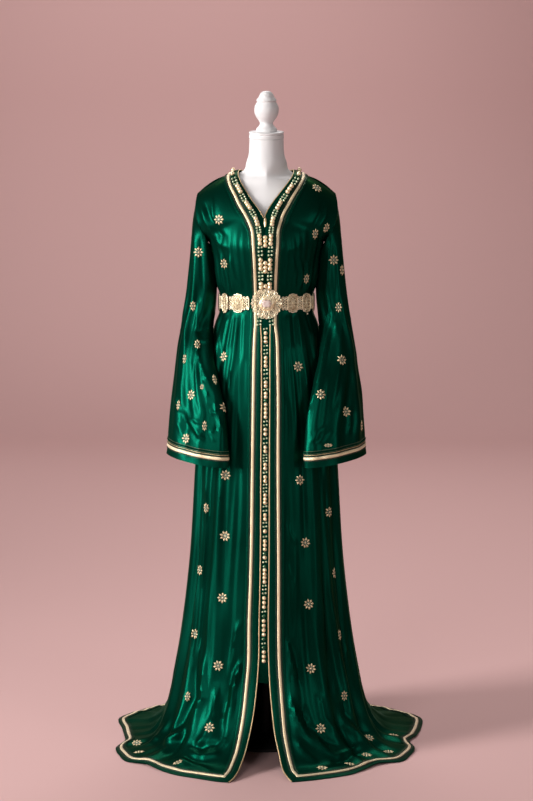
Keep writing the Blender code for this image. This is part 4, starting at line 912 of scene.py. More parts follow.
def long_folds(name):
    """Soft folds that fall from the belt to the floor, and faint ones down the bodice."""
    points = panels[name].points
    angle = np.arctan2(points[..., 0], -points[..., 1])
    height = points[..., 2]
    drift = 0.10 * np.sin(height * 5.0 + angle * 2.0)
    skirt = eased(-height, -1.05, -0.90) * eased(height, 0.015, 0.06)
    broad = np.sin((angle + drift) * 19 + 0.7) * 0.5 + np.sin((angle - drift) * 31 + 2.1) * 0.35
    small = np.sin((angle + drift * 0.5) * 57 + 1.3 * np.sin(height * 7)) * np.sin(height * 4.3 + angle * 8)
    bodice = eased(height, 1.13, 1.16) * (1 - eased(height, 1.22, 1.30))
    floor = eased(-height, -0.11, -0.03) * eased(height, 0.005, 0.014) * eased(np.abs(angle), 0.35, 0.8)
    spilled = np.sin(angle * 27 + height * 22 + 0.4) * 0.65 + np.sin(angle * 46 - height * 30) * 0.35
    deep = 1 + 1.5 * (1 - eased(height, 0.10, 0.42))
    falls = (broad * 0.0019 * deep + small * 0.0009) * skirt + spilled * 0.0050 * floor
    return falls + np.sin((angle + drift) * 44) * 0.0007 * bodice


def sleeve_folds(name):
    """Soft slack that falls down the front of a sleeve."""
    points = panels[name].points
    across = points[..., 0] * 60 + 0.8 * np.sin(points[..., 2] * 11)
    low = 1 - eased(points[..., 2], 0.95, 1.15) * 0.6
    return (np.sin(across * 1.9 + 0.6) * 0.5 + np.sin(across * 4.1 + points[..., 2] * 9) * 0.3) * 0.0018 * low


lifts["back"] = lifts["back"] + back_folds()
for name in ("front_left", "front_right"):
    lifts[name] = lifts[name] + long_folds(name)
for name in ("sleeve_left", "sleeve_right"):
    lifts[name] = lifts[name] + side_folds(name) + sleeve_folds(name)
shaped = {}
for name, panel in panels.items():
    points = panel.points + panel.normals * (lifts[name] * edge_fade(panel))[..., None]
    points[..., 2] = np.maximum(points[..., 2], CLOTH + 0.0004)
    shaped[name] = panel._replace(points=points, normals=facing(points, panel.ring))
print("lift at most", round(max(float(np.abs(lift).max()) for lift in lifts.values()) * 1000, 1), "mm")

# %% [markdown]
# ## From grids to pieces
# A shell is two copies of a grid, one a cloth's thickness inside the other, joined along every
# edge. It also stores the map named lay: millimetres along and across the piece.

# %% Piece makers
def piece_of(name, mesh, finish, angle=40):
    """Links a mesh as a piece that rides on the body, with its material and smooth shading."""
    mesh.shade_smooth()
    mesh.set_sharp_from_angle(angle=math.radians(angle))
    thing = bpy.data.objects.new(name, mesh)
    mesh.materials.append(finish)
    bpy.context.scene.collection.objects.link(thing)
    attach(thing, "root")
    return thing


def mesh_of(name, points, faces, lay=None):
    mesh = bpy.data.meshes.new(name)
    used = np.unique(np.concatenate([np.ravel(face) for face in faces]))
    lookup = np.full(len(points), -1)
    lookup[used] = np.arange(len(used))
    mesh.from_pydata(points[used].tolist(), [], [[int(lookup[i]) for i in face] for face in faces])
    build = bmesh.new()
    build.from_mesh(mesh)
    bmesh.ops.recalc_face_normals(build, faces=build.faces)
    build.to_mesh(mesh)
    build.free()
    if lay is not None:
        layer = mesh.uv_layers.new(name="lay")
        corners = np.zeros(len(mesh.loops), np.int32)
        mesh.loops.foreach_get("vertex_index", corners)
        layer.data.foreach_set("uv", (lay[used][corners]).astype(np.float32).ravel())
    return mesh


def lay_of(grid, along_axis=0):
    """The map of a grid in millimetres: along the given axis first, then across."""
    sizes = []
    for axis in (along_axis, 1 - along_axis):
        steps = np.linalg.norm(np.diff(grid, axis=axis), axis=2)
        length = np.cumsum(steps, axis=axis)
        pad = [(1, 0), (0, 0)] if axis == 0 else [(0, 0), (1, 0)]
        sizes.append(np.pad(length, pad) * 1000)
    return np.stack(sizes, axis=-1)


def shell(name, outer, inner, finish, slot, ring=False, keep=None, along_axis=0):
    """A closed shell between two grids; keep marks the cells to use, ring joins the ends of its rows."""
    if ring:
        outer = np.concatenate([outer, outer[:, :1]], axis=1)
        inner = np.concatenate([inner, inner[:, :1]], axis=1)
    rows, columns = outer.shape[:2]
    count = rows * columns
    keep = np.ones((rows - 1, columns - 1), bool) if keep is None else keep
    index = np.arange(count).reshape(rows, columns)
    corner = [index[:-1, :-1], index[:-1, 1:], index[1:, 1:], index[1:, :-1]]
    quads = np.stack(corner, axis=-1)[keep]
    faces = quads.tolist() + (quads[:, ::-1] + count).tolist()
    wide = np.pad(keep, 1)
    if ring:
        wide[1:-1, 0], wide[1:-1, -1] = keep[:, -1], keep[:, 0]
    sides = [
        (wide[:-2, 1:-1], corner[1], corner[0]), (wide[2:, 1:-1], corner[3], corner[2]),
        (wide[1:-1, :-2], corner[0], corner[3]), (wide[1:-1, 2:], corner[2], corner[1]),
    ]
    for beside, start, end in sides:
        edge = keep & ~beside
        a, b = start[edge], end[edge]
        faces += np.stack([a, b, b + count, a + count], axis=-1).tolist()
    points = np.concatenate([outer.reshape(-1, 3), inner.reshape(-1, 3)])
    lay = lay_of(outer, along_axis).reshape(-1, 2)
    mesh = mesh_of(name, points, faces, np.concatenate([lay, lay]))
    if ring:
        build = bmesh.new()
        build.from_mesh(mesh)
        bmesh.ops.remove_doubles(build, verts=build.verts, dist=1e-7)
        build.to_mesh(mesh)
        build.free()
    return piece_of(name, mesh, finish)


def raised(panel, low, high, rows=slice(None), columns=slice(None)):
    """The outer and inner grid of something that lies on a panel, from low to high above it."""
    points, normals = panel.points[rows, columns], panel.normals[rows, columns]
    both = [points + normals * high, points + normals * low]
    for grid, least in zip(both, (high + CLOTH, low + CLOTH)):
        grid[..., 2] = np.maximum(grid[..., 2], least)
    return both


def ring_faces(rings, sides, closed=False):
    """Faces that join each ring of points to the next one, and the last to the first if closed."""
    faces = []
    for ring in range(rings if closed else rings - 1):
        near, far = ring * sides, (ring + 1) % rings * sides
        for step in range(sides):
            after = (step + 1) % sides
            faces.append([near + step, near + after, far + after, far + step])
    return faces


def tube(points, radius, sides=8, closed=False):
    """Points and faces of a round rod along a path; radius may be a number or one for each point."""
    path = np.asarray(points, float)
    radius = np.broadcast_to(radius, len(path))
    if closed:
        along = unit(np.roll(path, -1, axis=0) - np.roll(path, 1, axis=0))
    else:
        along = unit(np.gradient(path, axis=0))
    side = np.zeros_like(path)
    guide = np.array([0.0, -1.0, 0.0]) if abs(along[0][1]) < 0.9 else np.array([0.0, 0.0, 1.0])
    for index, direction in enumerate(along):
        guide = guide - direction * (guide @ direction)
        guide = guide / np.linalg.norm(guide)
        side[index] = guide
    other = np.cross(along, side)
    turns = 2 * math.pi * np.arange(sides) / sides
    rings = path[:, None] + radius[:, None, None] * (
        side[:, None] * np.cos(turns)[None, :, None] + other[:, None] * np.sin(turns)[None, :, None]
    )
    count = len(path)
    faces = ring_faces(count, sides, closed)
    if not closed:
        faces += [list(range(sides))[::-1], [(count - 1) * sides + turn for turn in range(sides)]]
    length = np.concatenate([[0], np.cumsum(np.linalg.norm(np.diff(path, axis=0), axis=1))]) * 1000
    lay = np.stack(
        [np.repeat(length, sides), np.tile(np.arange(sides) * 2 * math.pi / sides, count)], axis=-1
    )
    lay[:, 1] *= float(radius.mean()) * 1000
    return rings.reshape(-1, 3), faces, lay


def ball(centre, radius, sides=10, rings=7, knot=0.0, axis=None):
    """Points and faces of a bead; knot gives it the ridges of a thread button."""
    centre = np.asarray(centre, float)
    points, faces = [], []
    for ring in range(1, rings):
        polar = math.pi * ring / rings
        for side in range(sides):
            turn = 2 * math.pi * (side + 0.5 * (ring % 2)) / sides
            swell = radius * (1 + knot * math.cos(3 * turn + 2.5 * polar) * math.sin(polar))
            across = swell * math.sin(polar)
            points.append((across * math.cos(turn), across * math.sin(turn), swell * math.cos(polar)))
    points += [(0, 0, radius), (0, 0, -radius)]
    top, bottom = len(points) - 2, len(points) - 1
    for ring in range(rings - 2):
        for side in range(sides):
            nxt = (side + 1) % sides
            a, b = ring * sides + side, ring * sides + nxt
            c, d = (ring + 1) * sides + nxt, (ring + 1) * sides + side
            if ring % 2:
                faces += [[a, d, b], [b, d, c]]
            else:
                faces += [[a, c, b], [a, d, c]]
    for side in range(sides):
        nxt = (side + 1) % sides
        faces.append([top, side, nxt])
        faces.append([bottom, (rings - 2) * sides + nxt, (rings - 2) * sides + side])
    points = np.array(points)
    if axis is not None:
        frame_z = unit(np.asarray(axis, float))
        frame_x = unit(np.cross([0.0, 1.0, 0.001], frame_z))
        points = points @ np.array([frame_x, np.cross(frame_z, frame_x), frame_z])
    return points + centre, faces, None


def gathered(name, parts, finish, angle=60):
    """One piece from many small closed parts."""
    points, faces, lays, start = [], [], [], 0
    for part_points, part_faces, lay in parts:
        points.append(part_points)
        faces += [[i + start for i in face] for face in part_faces]
        lays.append(lay if lay is not None else part_points[:, :2] * 1000)
        start += len(part_points)
    mesh = mesh_of(name, np.concatenate(points), faces, np.concatenate(lays))
    return piece_of(name, mesh, finish, angle)


print("piece makers ready")

# %% [markdown]
# ## Satin panels and sleeves
# Each panel is a thin shell on its own solid's form. It replaces that solid, which stays for the physics, and
# the size that it was cut to is printed.

# %% Satin shells
def cloth_piece(name):
    panel = shaped[name]
    inner = panel.points - panel.normals * CLOTH
    inner[..., 2] = np.maximum(inner[..., 2], 0.0004)
    thing = shell("satin_" + name, panel.points, inner, satin_face, "satin", panel.ring)
    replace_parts(thing, name)
    print(name, "faces:", len(thing.data.polygons))
    return thing


def cut_of(panel):
    """The size a panel was cut to: its widest row and longest column, and its surface."""
    points = panel.points
    if panel.ring:
        points = np.concatenate([points, points[:, :1]], axis=1)
    one, two = points[1:, 1:] - points[:-1, :-1], points[1:, :-1] - points[:-1, 1:]
    area = np.linalg.norm(np.cross(one, two), axis=2).sum() / 2
    steps = [np.linalg.norm(np.diff(points, axis=axis), axis=2) for axis in (1, 0)]
    width, length = steps[0].sum(axis=1).max(), steps[1].sum(axis=0).max()
    return (round(float(width), 3), round(float(length), 3)), round(float(area), 3)


cloth = {name: cloth_piece(name) for name in shaped}
print({name: cut_of(panel) for name, panel in shaped.items()})

# %% [markdown]
# ## Bands, braid and cord
# A band of stitched satin runs along the neck, the opening and the hem, and the braid is sewn on it.
# On the real gown the braid is woven from metal thread: a shallow dome across, with slanting ribs.

# %% Bands
def band_pieces():
    made = []
    for side in ("left", "right"):
        panel = shaped[f"front_{side}"]
        rows, columns = panel.rows, panel.columns
        keep = np.zeros(np.array(panel.points.shape[:2]) - 1, bool)
        keep[:, : columns[3]] = True
        hem = rows[row_index("band_top")]
        keep[hem:, :] = True
        outer, inner = raised(panel, BAND_LIFT, BAND_LIFT + BAND_THICK)
        foot = rows[row_index("braid_top")]
        for start, end, height in ((0, columns[1], 0.0013), (columns[2], columns[3], 0.0010)):
            roll = np.sin(np.pi * np.linspace(0, 1, end - start + 1)) * height
            outer[:foot, start:end + 1] += panel.normals[:foot, start:end + 1] * roll[:, None]
        band = shell(f"stitched_band_{side}", outer, inner, band_satin, "satin", keep=keep)
        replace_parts(band, f"band_{side}")
        made.append(band)
    panel = shaped["back"]
    keep = np.zeros(np.array(panel.points.shape[:2]) - 1, bool)
    keep[panel.rows[row_index("band_top")]:, :] = True
    outer, inner = raised(panel, BAND_LIFT, BAND_LIFT + BAND_THICK)
    band = shell("stitched_band_back_hem", outer, inner, band_satin, "satin", keep=keep)
    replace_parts(band, "band_back_hem")
    reach = NECK_STATION + len(BACK_BAND)
    low, high = panel.columns[BACK_STATIONS - reach], panel.columns[BACK_STATIONS + reach]
    keep = np.zeros(np.array(panel.points.shape[:2]) - 1, bool)
    keep[: panel.rows[3], low:high] = True
    neck = shell("stitched_band_back_neck", outer, inner, band_satin, "satin", keep=keep)
    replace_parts(neck, "band_back_neck")
    return made + [band, neck]


def row_index(name):
    return [row.name for row in FRONT_YOKE + BODY_ROWS].index(name)


bands = band_pieces()
print("bands:", len(bands))

# %% Braid
RIBBON_FLOOR = 0.0021  # a ribbon's edges stay this far above the floor
CORD_FLOOR = 0.0026  # and the middle of a cord this far


def strip(name, centre, normals, across, width, low, high, ring=False):
    """A ribbon along a line: centre points, the way the cloth faces there and the way across it."""
    profile = [
        (-0.5, 0.0), (-0.46, 0.45), (-0.32, 0.85), (-0.10, 1.0), (0.10, 1.0), (0.32, 0.85), (0.46, 0.45),
        (0.5, 0.0)
    ]
    top = np.stack(
        [centre + across * width * a + normals * (low + (high - low) * b) for a, b in profile], axis=1
    )
    base = np.stack([centre + across * width * a + normals * low * 0.98 for a, _ in profile], axis=1)
    for grid in (top, base):
        grid[..., 2] = np.maximum(grid[..., 2], RIBBON_FLOOR)
    lines = [top.transpose(1, 0, 2), base.transpose(1, 0, 2)] if ring else [top, base]
    axis = 1 if ring else 0
    return shell(name, *lines, braid_gold, "braid", ring=ring, along_axis=axis)


def densified(line, step=0.003):
    """A path with points every few millimetres."""
    lengths = np.concatenate([[0], np.cumsum(np.linalg.norm(np.diff(line[:, :3], axis=0), axis=1))])
    at = np.linspace(0, lengths[-1], max(2, round(lengths[-1] / step)))
    return np.stack([np.interp(at, lengths, line[:, axis]) for axis in range(line.shape[1])], axis=1)


def braid_line(first, second):
    """The middle line between two lines of a panel, with normals and the way across."""
    (a, na), (b, nb) = first, second
    return (a + b) / 2, unit(na + nb), unit(b - a)


def column_line(panel, station, rows=slice(None)):
    return panel.points[rows, panel.columns[station]], panel.normals[rows, panel.columns[station]]


def row_line(panel, name, columns=slice(None)):
    row = panel.rows[row_index(name)] if isinstance(name, str) else panel.rows[name]
    return panel.points[row, columns], panel.normals[row, columns]


BRAID_LOW = BAND_LIFT + BAND_THICK + 0.0002
BRAID_HIGH = BRAID_LOW + 0.0019


def joined_path(parts):
    """Puts lines end to end as one path of points, normals and ways across."""
    return [np.concatenate([part[axis] for part in parts]) for axis in range(3)]


def front_braid(side):
    panel = shaped[f"front_{side}"]
    foot = panel.rows[row_index("braid_top")] - 3
    down = braid_line(column_line(panel, 1, slice(0, foot)), column_line(panel, 2, slice(0, foot)))
    top, low = row_line(panel, "braid_top"), row_line(panel, "braid_foot")
    turn = panel.columns[2] + 2
    along = braid_line((low[0][turn:], low[1][turn:]), (top[0][turn:], top[1][turn:]))
    corner_spot = (panel.points[panel.rows[row_index("braid_top")], panel.columns[1]]
                   + panel.points[panel.rows[row_index("braid_foot")], panel.columns[2]]) / 2
    corner = (corner_spot[None], np.array([[0.0, 0.0, 1.0]]), unit(down[2][-1] + along[2][0])[None] * 1.3)
    path = joined_path([down, corner, along])
    packed = densified(np.concatenate(path, axis=1))
    centre, normals, across = packed[:, :3], unit(packed[:, 3:6]), packed[:, 6:]
    thing = strip(f"woven_braid_{side}", centre, normals, across, BRAID_WIDTH * 0.8, BRAID_LOW, BRAID_HIGH)
    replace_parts(thing, f"braid_{side}")
    return thing


braids = [front_braid("left"), front_braid("right")]


def plain_braid(name, node, first, second, low=BRAID_LOW, high=BRAID_HIGH, ring=False):
    middle, normals, across = braid_line(first, second)
    width = float(np.linalg.norm(second[0] - first[0], axis=1).mean()) * 0.8
    if ring:
        middle, normals, across = (np.concatenate([part, part[:1]]) for part in (middle, normals, across))
    packed = densified(np.concatenate([middle, normals, across], axis=1))
    if ring:
        packed = packed[:-1]
    thing = strip(name, packed[:, :3], unit(packed[:, 3:6]), packed[:, 6:], width, low, high, ring=ring)
    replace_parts(thing, node)
    return thing


back_panel = shaped["back"]
hem_lines = (row_line(back_panel, "braid_foot"), row_line(back_panel, "braid_top"))
braids.append(plain_braid("woven_braid_back_hem", "braid_back_hem", *hem_lines))
print("braids:", len(braids))

# %% Braid of the back neck and the cuffs
def neck_braid():
    """It turns from the back of the neck up to the shoulder, where it meets the front's braid."""
    panel = shaped["back"]
    reach = NECK_STATION + len(BACK_BAND)
    stations = panel.columns
    inner, outer = panel.rows[1], panel.rows[2]
    left = [stations[BACK_STATIONS - reach + 1], stations[BACK_STATIONS - reach + 2]]
    right = [stations[BACK_STATIONS + reach - 2], stations[BACK_STATIONS + reach - 1]]
    lines = []
    for row, start, end in ((inner, left[1], right[0]), (outer, left[0], right[1])):
        both = np.concatenate([panel.points, panel.normals], axis=2)
        line = np.concatenate([both[: row + 1, start], both[row, start + 1:end], both[: row + 1, end][::-1]])
        lengths = np.concatenate([[0], np.cumsum(np.linalg.norm(np.diff(line[:, :3], axis=0), axis=1))])
        at = np.linspace(0, lengths[-1], 90)
        lines.append(np.stack([np.interp(at, lengths, line[:, axis]) for axis in range(6)], axis=1))
    return plain_braid(
        "woven_braid_back_neck", "braid_back_neck",
        (lines[0][:, :3], unit(lines[0][:, 3:])), (lines[1][:, :3], unit(lines[1][:, 3:])),
    )


braids.append(neck_braid())
cuff_row = [row.name for row in SLEEVE_ROWS].index("braid_top") + 1
for side in ("left", "right"):
    panel = shaped[f"sleeve_{side}"]
    braids.append(plain_braid(
        f"woven_braid_cuff_{side}", f"braid_cuff_{side}",
        row_line(panel, cuff_row + 1), row_line(panel, cuff_row), 0.0003, 0.0018, ring=True,
    ))
print("braids:", len(braids))

# %% [markdown]
# ## The form
# The display form is a smooth moulded torso with a neck, a cap and a turned finial, all white, on a
# pole and a round base. The torso's rows are run through a smooth curve like the cloth's.

# %% Form, cap and finial
# The dress form from the neck down; power 2 is an oval section, lower is more pointed at the sides.
FormRow = namedtuple("FormRow", "z half front back power")
FORM_ROWS = [FormRow(*row) for row in (
    (1.5050, 0.0420, 0.0420, 0.0420, 2.0),
    (1.4860, 0.0424, 0.0424, 0.0424, 2.0),
    (1.4660, 0.0440, 0.0445, 0.0430, 2.0),
    (1.4460, 0.0500, 0.0490, 0.0460, 1.9),
    (1.4285, 0.0550, 0.0510, 0.0460, 1.6),
    (1.4155, 0.0800, 0.0530, 0.0430, 1.2),
    (1.4024, 0.1165, 0.0590, 0.0520, 1.3),
    (1.3890, 0.1385, 0.0630, 0.0540, 1.4),
    (1.3740, 0.1570, 0.0680, 0.0560, 1.6),
    (1.3480, 0.1590, 0.0760, 0.0600, 1.8),
    (1.3180, 0.1540, 0.0850, 0.0660, 2.0),
    (1.2830, 0.1420, 0.0970, 0.0740, 2.0),
    (1.2450, 0.1290, 0.1100, 0.0800, 2.0),
    (1.2050, 0.1220, 0.1110, 0.0810, 2.0),
    (1.1650, 0.1140, 0.1020, 0.0790, 2.0),
    (1.1050, 0.1060, 0.0860, 0.0760, 2.0),
    (1.0600, 0.1130, 0.0880, 0.0800, 2.0),
    (1.0000, 0.1280, 0.0960, 0.0920, 2.0),
    (0.9300, 0.1390, 0.1040, 0.1040, 2.0),
    (0.8600, 0.1420, 0.1060, 0.1060, 2.0),
    (0.8000, 0.1380, 0.1020, 0.1020, 2.0),
)]
CAP_TILT = math.radians(9)  # the neck's top leans towards the front
CAP_THICK = 0.016
SEAT_GAP = 0.0003  # between the neck, the cap and the finial
CAP_PROFILE = [  # radius and height below the cap's top, with a groove round it
    (0.0425, -0.0158),
    (0.0427, -0.0150),
    (0.0427, -0.0074),
    (0.0419, -0.0066),
    (0.0409, -0.0064),
    (0.0407, -0.0058),
    (0.0409, -0.0050),
    (0.0424, -0.0044),
    (0.0427, -0.0036),
    (0.0426, -0.0012),
    (0.0412, 0.0),
]
FINIAL_PROFILE = [  # radius and height above the cap, bottom first
    (0.0255, 0.0000),
    (0.0255, 0.0055),
    (0.0190, 0.0135),
    (0.0160, 0.0200),
    (0.0182, 0.0250),
    (0.0262, 0.0370),
    (0.0298, 0.0490),
    (0.0292, 0.0600),
    (0.0245, 0.0700),
    (0.0230, 0.0725),
    (0.0250, 0.0760),
    (0.0225, 0.0800),
    (0.0196, 0.0830),
    (0.0170, 0.0895),
    (0.0095, 0.0970),
    (0.0001, 0.0990),
]


def form_ring(row, sides):
    points = []
    for step in range(sides):
        turn = 2 * math.pi * step / sides
        across, ahead = math.sin(turn), math.cos(turn)
        depth = row.front if ahead >= 0 else row.back
        x = row.half * math.copysign(abs(across) ** (2 / row.power), across)
        y = -depth * math.copysign(abs(ahead) ** (2 / row.power), ahead)
        lean = math.tan(CAP_TILT) * y if row is FORM_ROWS[0] else 0.0
        points.append((x, y, row.z + lean))
    return points


def capped(rings, sides):
    """The faces of a stack of rings, closed at both of its ends."""
    ends = [[ring * sides + step for step in range(sides)] for ring in (0, rings - 1)]
    return ring_faces(rings, sides) + ends


def form_piece():
    sides = 72
    grid, _ = finer(np.array([form_ring(row, sides) for row in FORM_ROWS]), 0.006)
    mesh = mesh_of("moulded_torso", grid.reshape(-1, 3), capped(len(grid), sides))
    thing = piece_of("moulded_torso", mesh, form_white)
    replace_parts(thing, "form_torso")
    return thing


def lathe(profile, sides=64, step=0.0025):
    """Points and faces of a turned piece from its radius and height, bottom first."""
    line = np.array([(0.0, profile[0][1]), *profile, (0.0, profile[-1][1])])
    curve = [line[0]]
    for index in range(1, len(line)):
        count = max(1, round(float(np.linalg.norm(line[index] - line[index - 1])) / step))
        curve += [line[index - 1] + (line[index] - line[index - 1]) * (k + 1) / count for k in range(count)]
    curve = np.array(curve)[1:-1]
    turns = 2 * math.pi * np.arange(sides) / sides
    x, y = np.outer(curve[:, 0], np.cos(turns)), np.outer(curve[:, 0], np.sin(turns))
    rings = np.stack([x, y, np.outer(curve[:, 1], np.ones(sides))], axis=-1)
    return rings.reshape(-1, 3), capped(len(curve), sides)


def smooth_profile(profile, step=0.002):
    """A profile with its corners run through a smooth curve."""
    grid = np.array([[(0.0, radius, height)] for radius, height in profile])
    fine, _ = finer(grid, step)
    return [(float(max(point[0][1], 0.00005)), float(point[0][2])) for point in fine]


def turned_piece(name, node, profile, tilt, lift, smooth=False):
    profile = smooth_profile(profile) if smooth else profile
    points, faces = lathe(profile)
    y = points[:, 1] * math.cos(tilt) - points[:, 2] * math.sin(tilt)
    z = points[:, 1] * math.sin(tilt) + points[:, 2] * math.cos(tilt)
    points = np.stack([points[:, 0], y, z + lift], axis=-1)
    mesh = mesh_of(name, points, faces)
    thing = piece_of(name, mesh, form_white, 50)
    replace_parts(thing, node)
    return thing


torso = form_piece()
cap_lift = FORM_ROWS[0].z + (CAP_THICK + SEAT_GAP) / math.cos(CAP_TILT)
turned_piece("neck_cap", "form_neck_cap", CAP_PROFILE, CAP_TILT, cap_lift)
turned_piece("turned_finial", "form_finial", FINIAL_PROFILE, CAP_TILT, cap_lift + SEAT_GAP, smooth=True)
for node in ("stand_pole", "stand_base"):
    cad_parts[node].data.materials.clear()
    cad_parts[node].data.materials.append(stand_black)
print("form:", len(torso.data.polygons), "faces")

# %% [markdown]
# Several trims are placed by where they are seen in the picture. For that, all of the cloth goes
# into one search tree, and a ray from the camera through a pixel finds the spot they lie on.

# %% Find a spot on the cloth
cloth_points, cloth_faces, cloth_owner = [], [], []
start = 0
for name, panel in shaped.items():
    points = panel.points
    if panel.ring:
        points = np.concatenate([points, points[:, :1]], axis=1)
    rows, columns = points.shape[:2]
    index = np.arange(rows * columns).reshape(rows, columns) + start
    quads = np.stack([index[:-1, :-1], index[:-1, 1:], index[1:, 1:], index[1:, :-1]], axis=-1).reshape(-1, 4)
    cloth_points.append(points.reshape(-1, 3))
    cloth_faces.append(quads)
    cloth_owner += [name] * len(quads)
    start += rows * columns
cloth_tree = BVHTree.FromPolygons(np.concatenate(cloth_points).tolist(), np.concatenate(cloth_faces).tolist())


def through(pixel):
    """The way from the camera through a pixel of the picture."""
    x, z = (pixel[0] - PICTURE[0] / 2) / FOCAL, (PICTURE[1] / 2 - pixel[1]) / FOCAL
    c, s = math.cos(CAMERA_PITCH), math.sin(CAMERA_PITCH)
    return unit(np.array([x, c + z * s, -s + z * c]))


def hit(place, way):
    """The first point of the cloth along a line: the point, the way it faces and its panel."""
    spot, normal, face, _ = cloth_tree.ray_cast(Vector(place), Vector(way))
    if spot is None:
        return None
    normal = np.array(normal)
    if normal @ np.array(way) > 0:
        normal = -normal
    return np.array(spot), normal, cloth_owner[face]


def hit_pixel(pixel):
    spot, normal, _ = hit(CAMERA_PLACE, through(pixel))
    return spot, normal


print("cloth faces:", len(cloth_owner))

# %% [markdown]
# The edge of the opening and of the neck is finished with a round gold cord. Along each side of the braid
# lies a thin near-black thread: partly real piping and partly painted shadow, for the shade beside the
# raised braid. Outside the braid runs a hatch of slanting stitches, and inside it a line of small
# grey-green ones. A stitch is only three millimetres long, so each is a little eight-sided grain that
# lies on the cloth.

# %% Cords and dark threads
def offset_line(points, normals, lift, sideways=None, shift=0.0):
    line = points + normals * lift
    if sideways is not None:
        line = line + sideways * shift
    line[..., 2] = np.maximum(line[..., 2], CORD_FLOOR)
    return line


def stitches(points, normals, across, pitch, length, slant, width=0.0008, height=0.0007):
    """A line of small stitches; slant is how far each turns from the line's way, in degrees."""
    packed = densified(np.concatenate([points, normals, across], axis=1), pitch)
    heading = unit(np.gradient(packed[:, :3], axis=0))
    c, s = math.cos(math.radians(slant)), math.sin(math.radians(slant))
    parts = []
    for (spot, normal, beside), way in zip(packed.reshape(-1, 3, 3), heading):
        normal, along = unit(normal), way * c + unit(beside) * s
        side = np.cross(normal, along)
        ends = [along * length / 2, side * width / 2, -along * length / 2, -side * width / 2]
        grain = np.array(
            [spot + end for end in ends] + [spot + normal * height, spot - normal * height * 0.4]
        )
        faces = [[0, 1, 4], [1, 2, 4], [2, 3, 4], [3, 0, 4], [1, 0, 5], [2, 1, 5], [3, 2, 5], [0, 3, 5]]
        parts.append((grain, faces, None))
    return parts


EDGE_LIFT = BAND_LIFT + BAND_THICK
NECK_CORD_END = 1.3095  # height where the neck's cord stops
SKIRT_CORD_TOP = 1.054  # and where the skirt's cord starts, under the belt
cord_parts, thread_and_shadow_parts, hatch_parts, dot_parts = [], [], [], []


def trim_beside_braid(line, normals, away, outside):
    """The near-black thread, partly painted shadow of the braid's edge, and the stitches along one side of a
    braid.
    """
    # This thread is partly painted shadow: its near-black colour stands for the shade beside the braid.
    near = offset_line(line, normals, EDGE_LIFT + 0.0004, away, 0.0010)
    thread_and_shadow_parts.append(tube(densified(near, 0.006), 0.0008, 6))
    if outside:
        path = offset_line(line, normals, EDGE_LIFT + 0.0007, away, 0.0032)
        hatch_parts.extend(stitches(path, normals, away, 0.0026, 0.0034, 50))
    else:
        path = offset_line(line, normals, EDGE_LIFT + 0.0009, away, 0.0038)
        dot_parts.extend(stitches(path, normals, away, 0.0048, 0.0032, 0))


for side in ("left", "right"):
    panel = shaped[f"front_{side}"]
    edge, edge_normals = column_line(panel, 0)
    cord_line = offset_line(edge, edge_normals, EDGE_LIFT * 0.5)
    cord_parts.append(tube(densified(cord_line[cord_line[:, 2] > NECK_CORD_END]), 0.0012))
    cord_parts.append(tube(densified(cord_line[cord_line[:, 2] < SKIRT_CORD_TOP]), 0.0015))
    foot = slice(0, panel.rows[row_index("braid_top")] - 1)
    for station, towards in ((1, 0), (2, 3)):
        line, normals = column_line(panel, station, foot)
        away = unit(column_line(panel, towards, foot)[0] - line)
        trim_beside_braid(line, normals, away, towards == 3)
    along = slice(panel.columns[2] + 1, None)
    for name, towards in (("braid_top", "band_top"), ("braid_foot", "hem")):
        line, normals = row_line(panel, name, along)
        trim_beside_braid(
            line, normals, unit(row_line(panel, towards, along)[0] - line), towards == "band_top"
        )
panel = shaped["back"]
for name, towards in (("braid_top", "band_top"), ("braid_foot", "hem")):
    line, normals = row_line(panel, name)
    trim_beside_braid(line, normals, unit(row_line(panel, towards)[0] - line), towards == "band_top")
neck = slice(panel.columns[BACK_STATIONS - NECK_STATION], panel.columns[BACK_STATIONS + NECK_STATION] + 1)
neck_line = offset_line(panel.points[0, neck], panel.normals[0, neck], EDGE_LIFT * 0.5)
cord_parts.append(tube(densified(neck_line), 0.0012))
print("stitches:", len(hatch_parts) + len(dot_parts))

# %% [markdown]
# A cuff has more: above the braid a fine gold line, and above that a stitched rope a finger wide.

# %% Cuff trims
rope_parts, dim_parts = [], []


def round_sleeve(panel, row, towards, shift, lift=0.0006):
    """A closed line beside a row of a sleeve, with the way the cloth faces and the way across."""
    line, normals = row_line(panel, row)
    away = unit(row_line(panel, towards)[0] - line)
    line = offset_line(line, normals, lift, away, shift)
    return [np.concatenate([part, part[:1]]) for part in (line, normals, away)]


for side in ("left", "right"):
    panel = shaped[f"sleeve_{side}"]
    # The first two rows are near-black threads beside the cuff braid, partly painted shadow.
    for row, towards, shift, radius, parts in (
        (cuff_row, cuff_row - 1, 0.0012, 0.0008, thread_and_shadow_parts),
        (cuff_row + 1, cuff_row + 2, 0.0012, 0.0008, thread_and_shadow_parts),
        (cuff_row, cuff_row - 1, 0.0034, 0.0007, cord_parts),
        (cuff_row, cuff_row - 1, 0.0064, 0.0006, dim_parts),
        (cuff_row, cuff_row - 1, 0.0128, 0.0006, dim_parts),
    ):
        line = round_sleeve(panel, row, towards, shift)[0]
        parts.append(tube(densified(line, 0.004)[:-1], radius, 6, closed=True))
    line, normals, away = round_sleeve(panel, cuff_row, cuff_row - 1, 0.0097)
    rope_parts.extend(stitches(line, normals, away, 0.0030, 0.0062, 50, 0.0024, 0.0014))
gathered("edge_cords", cord_parts, cord_gold)
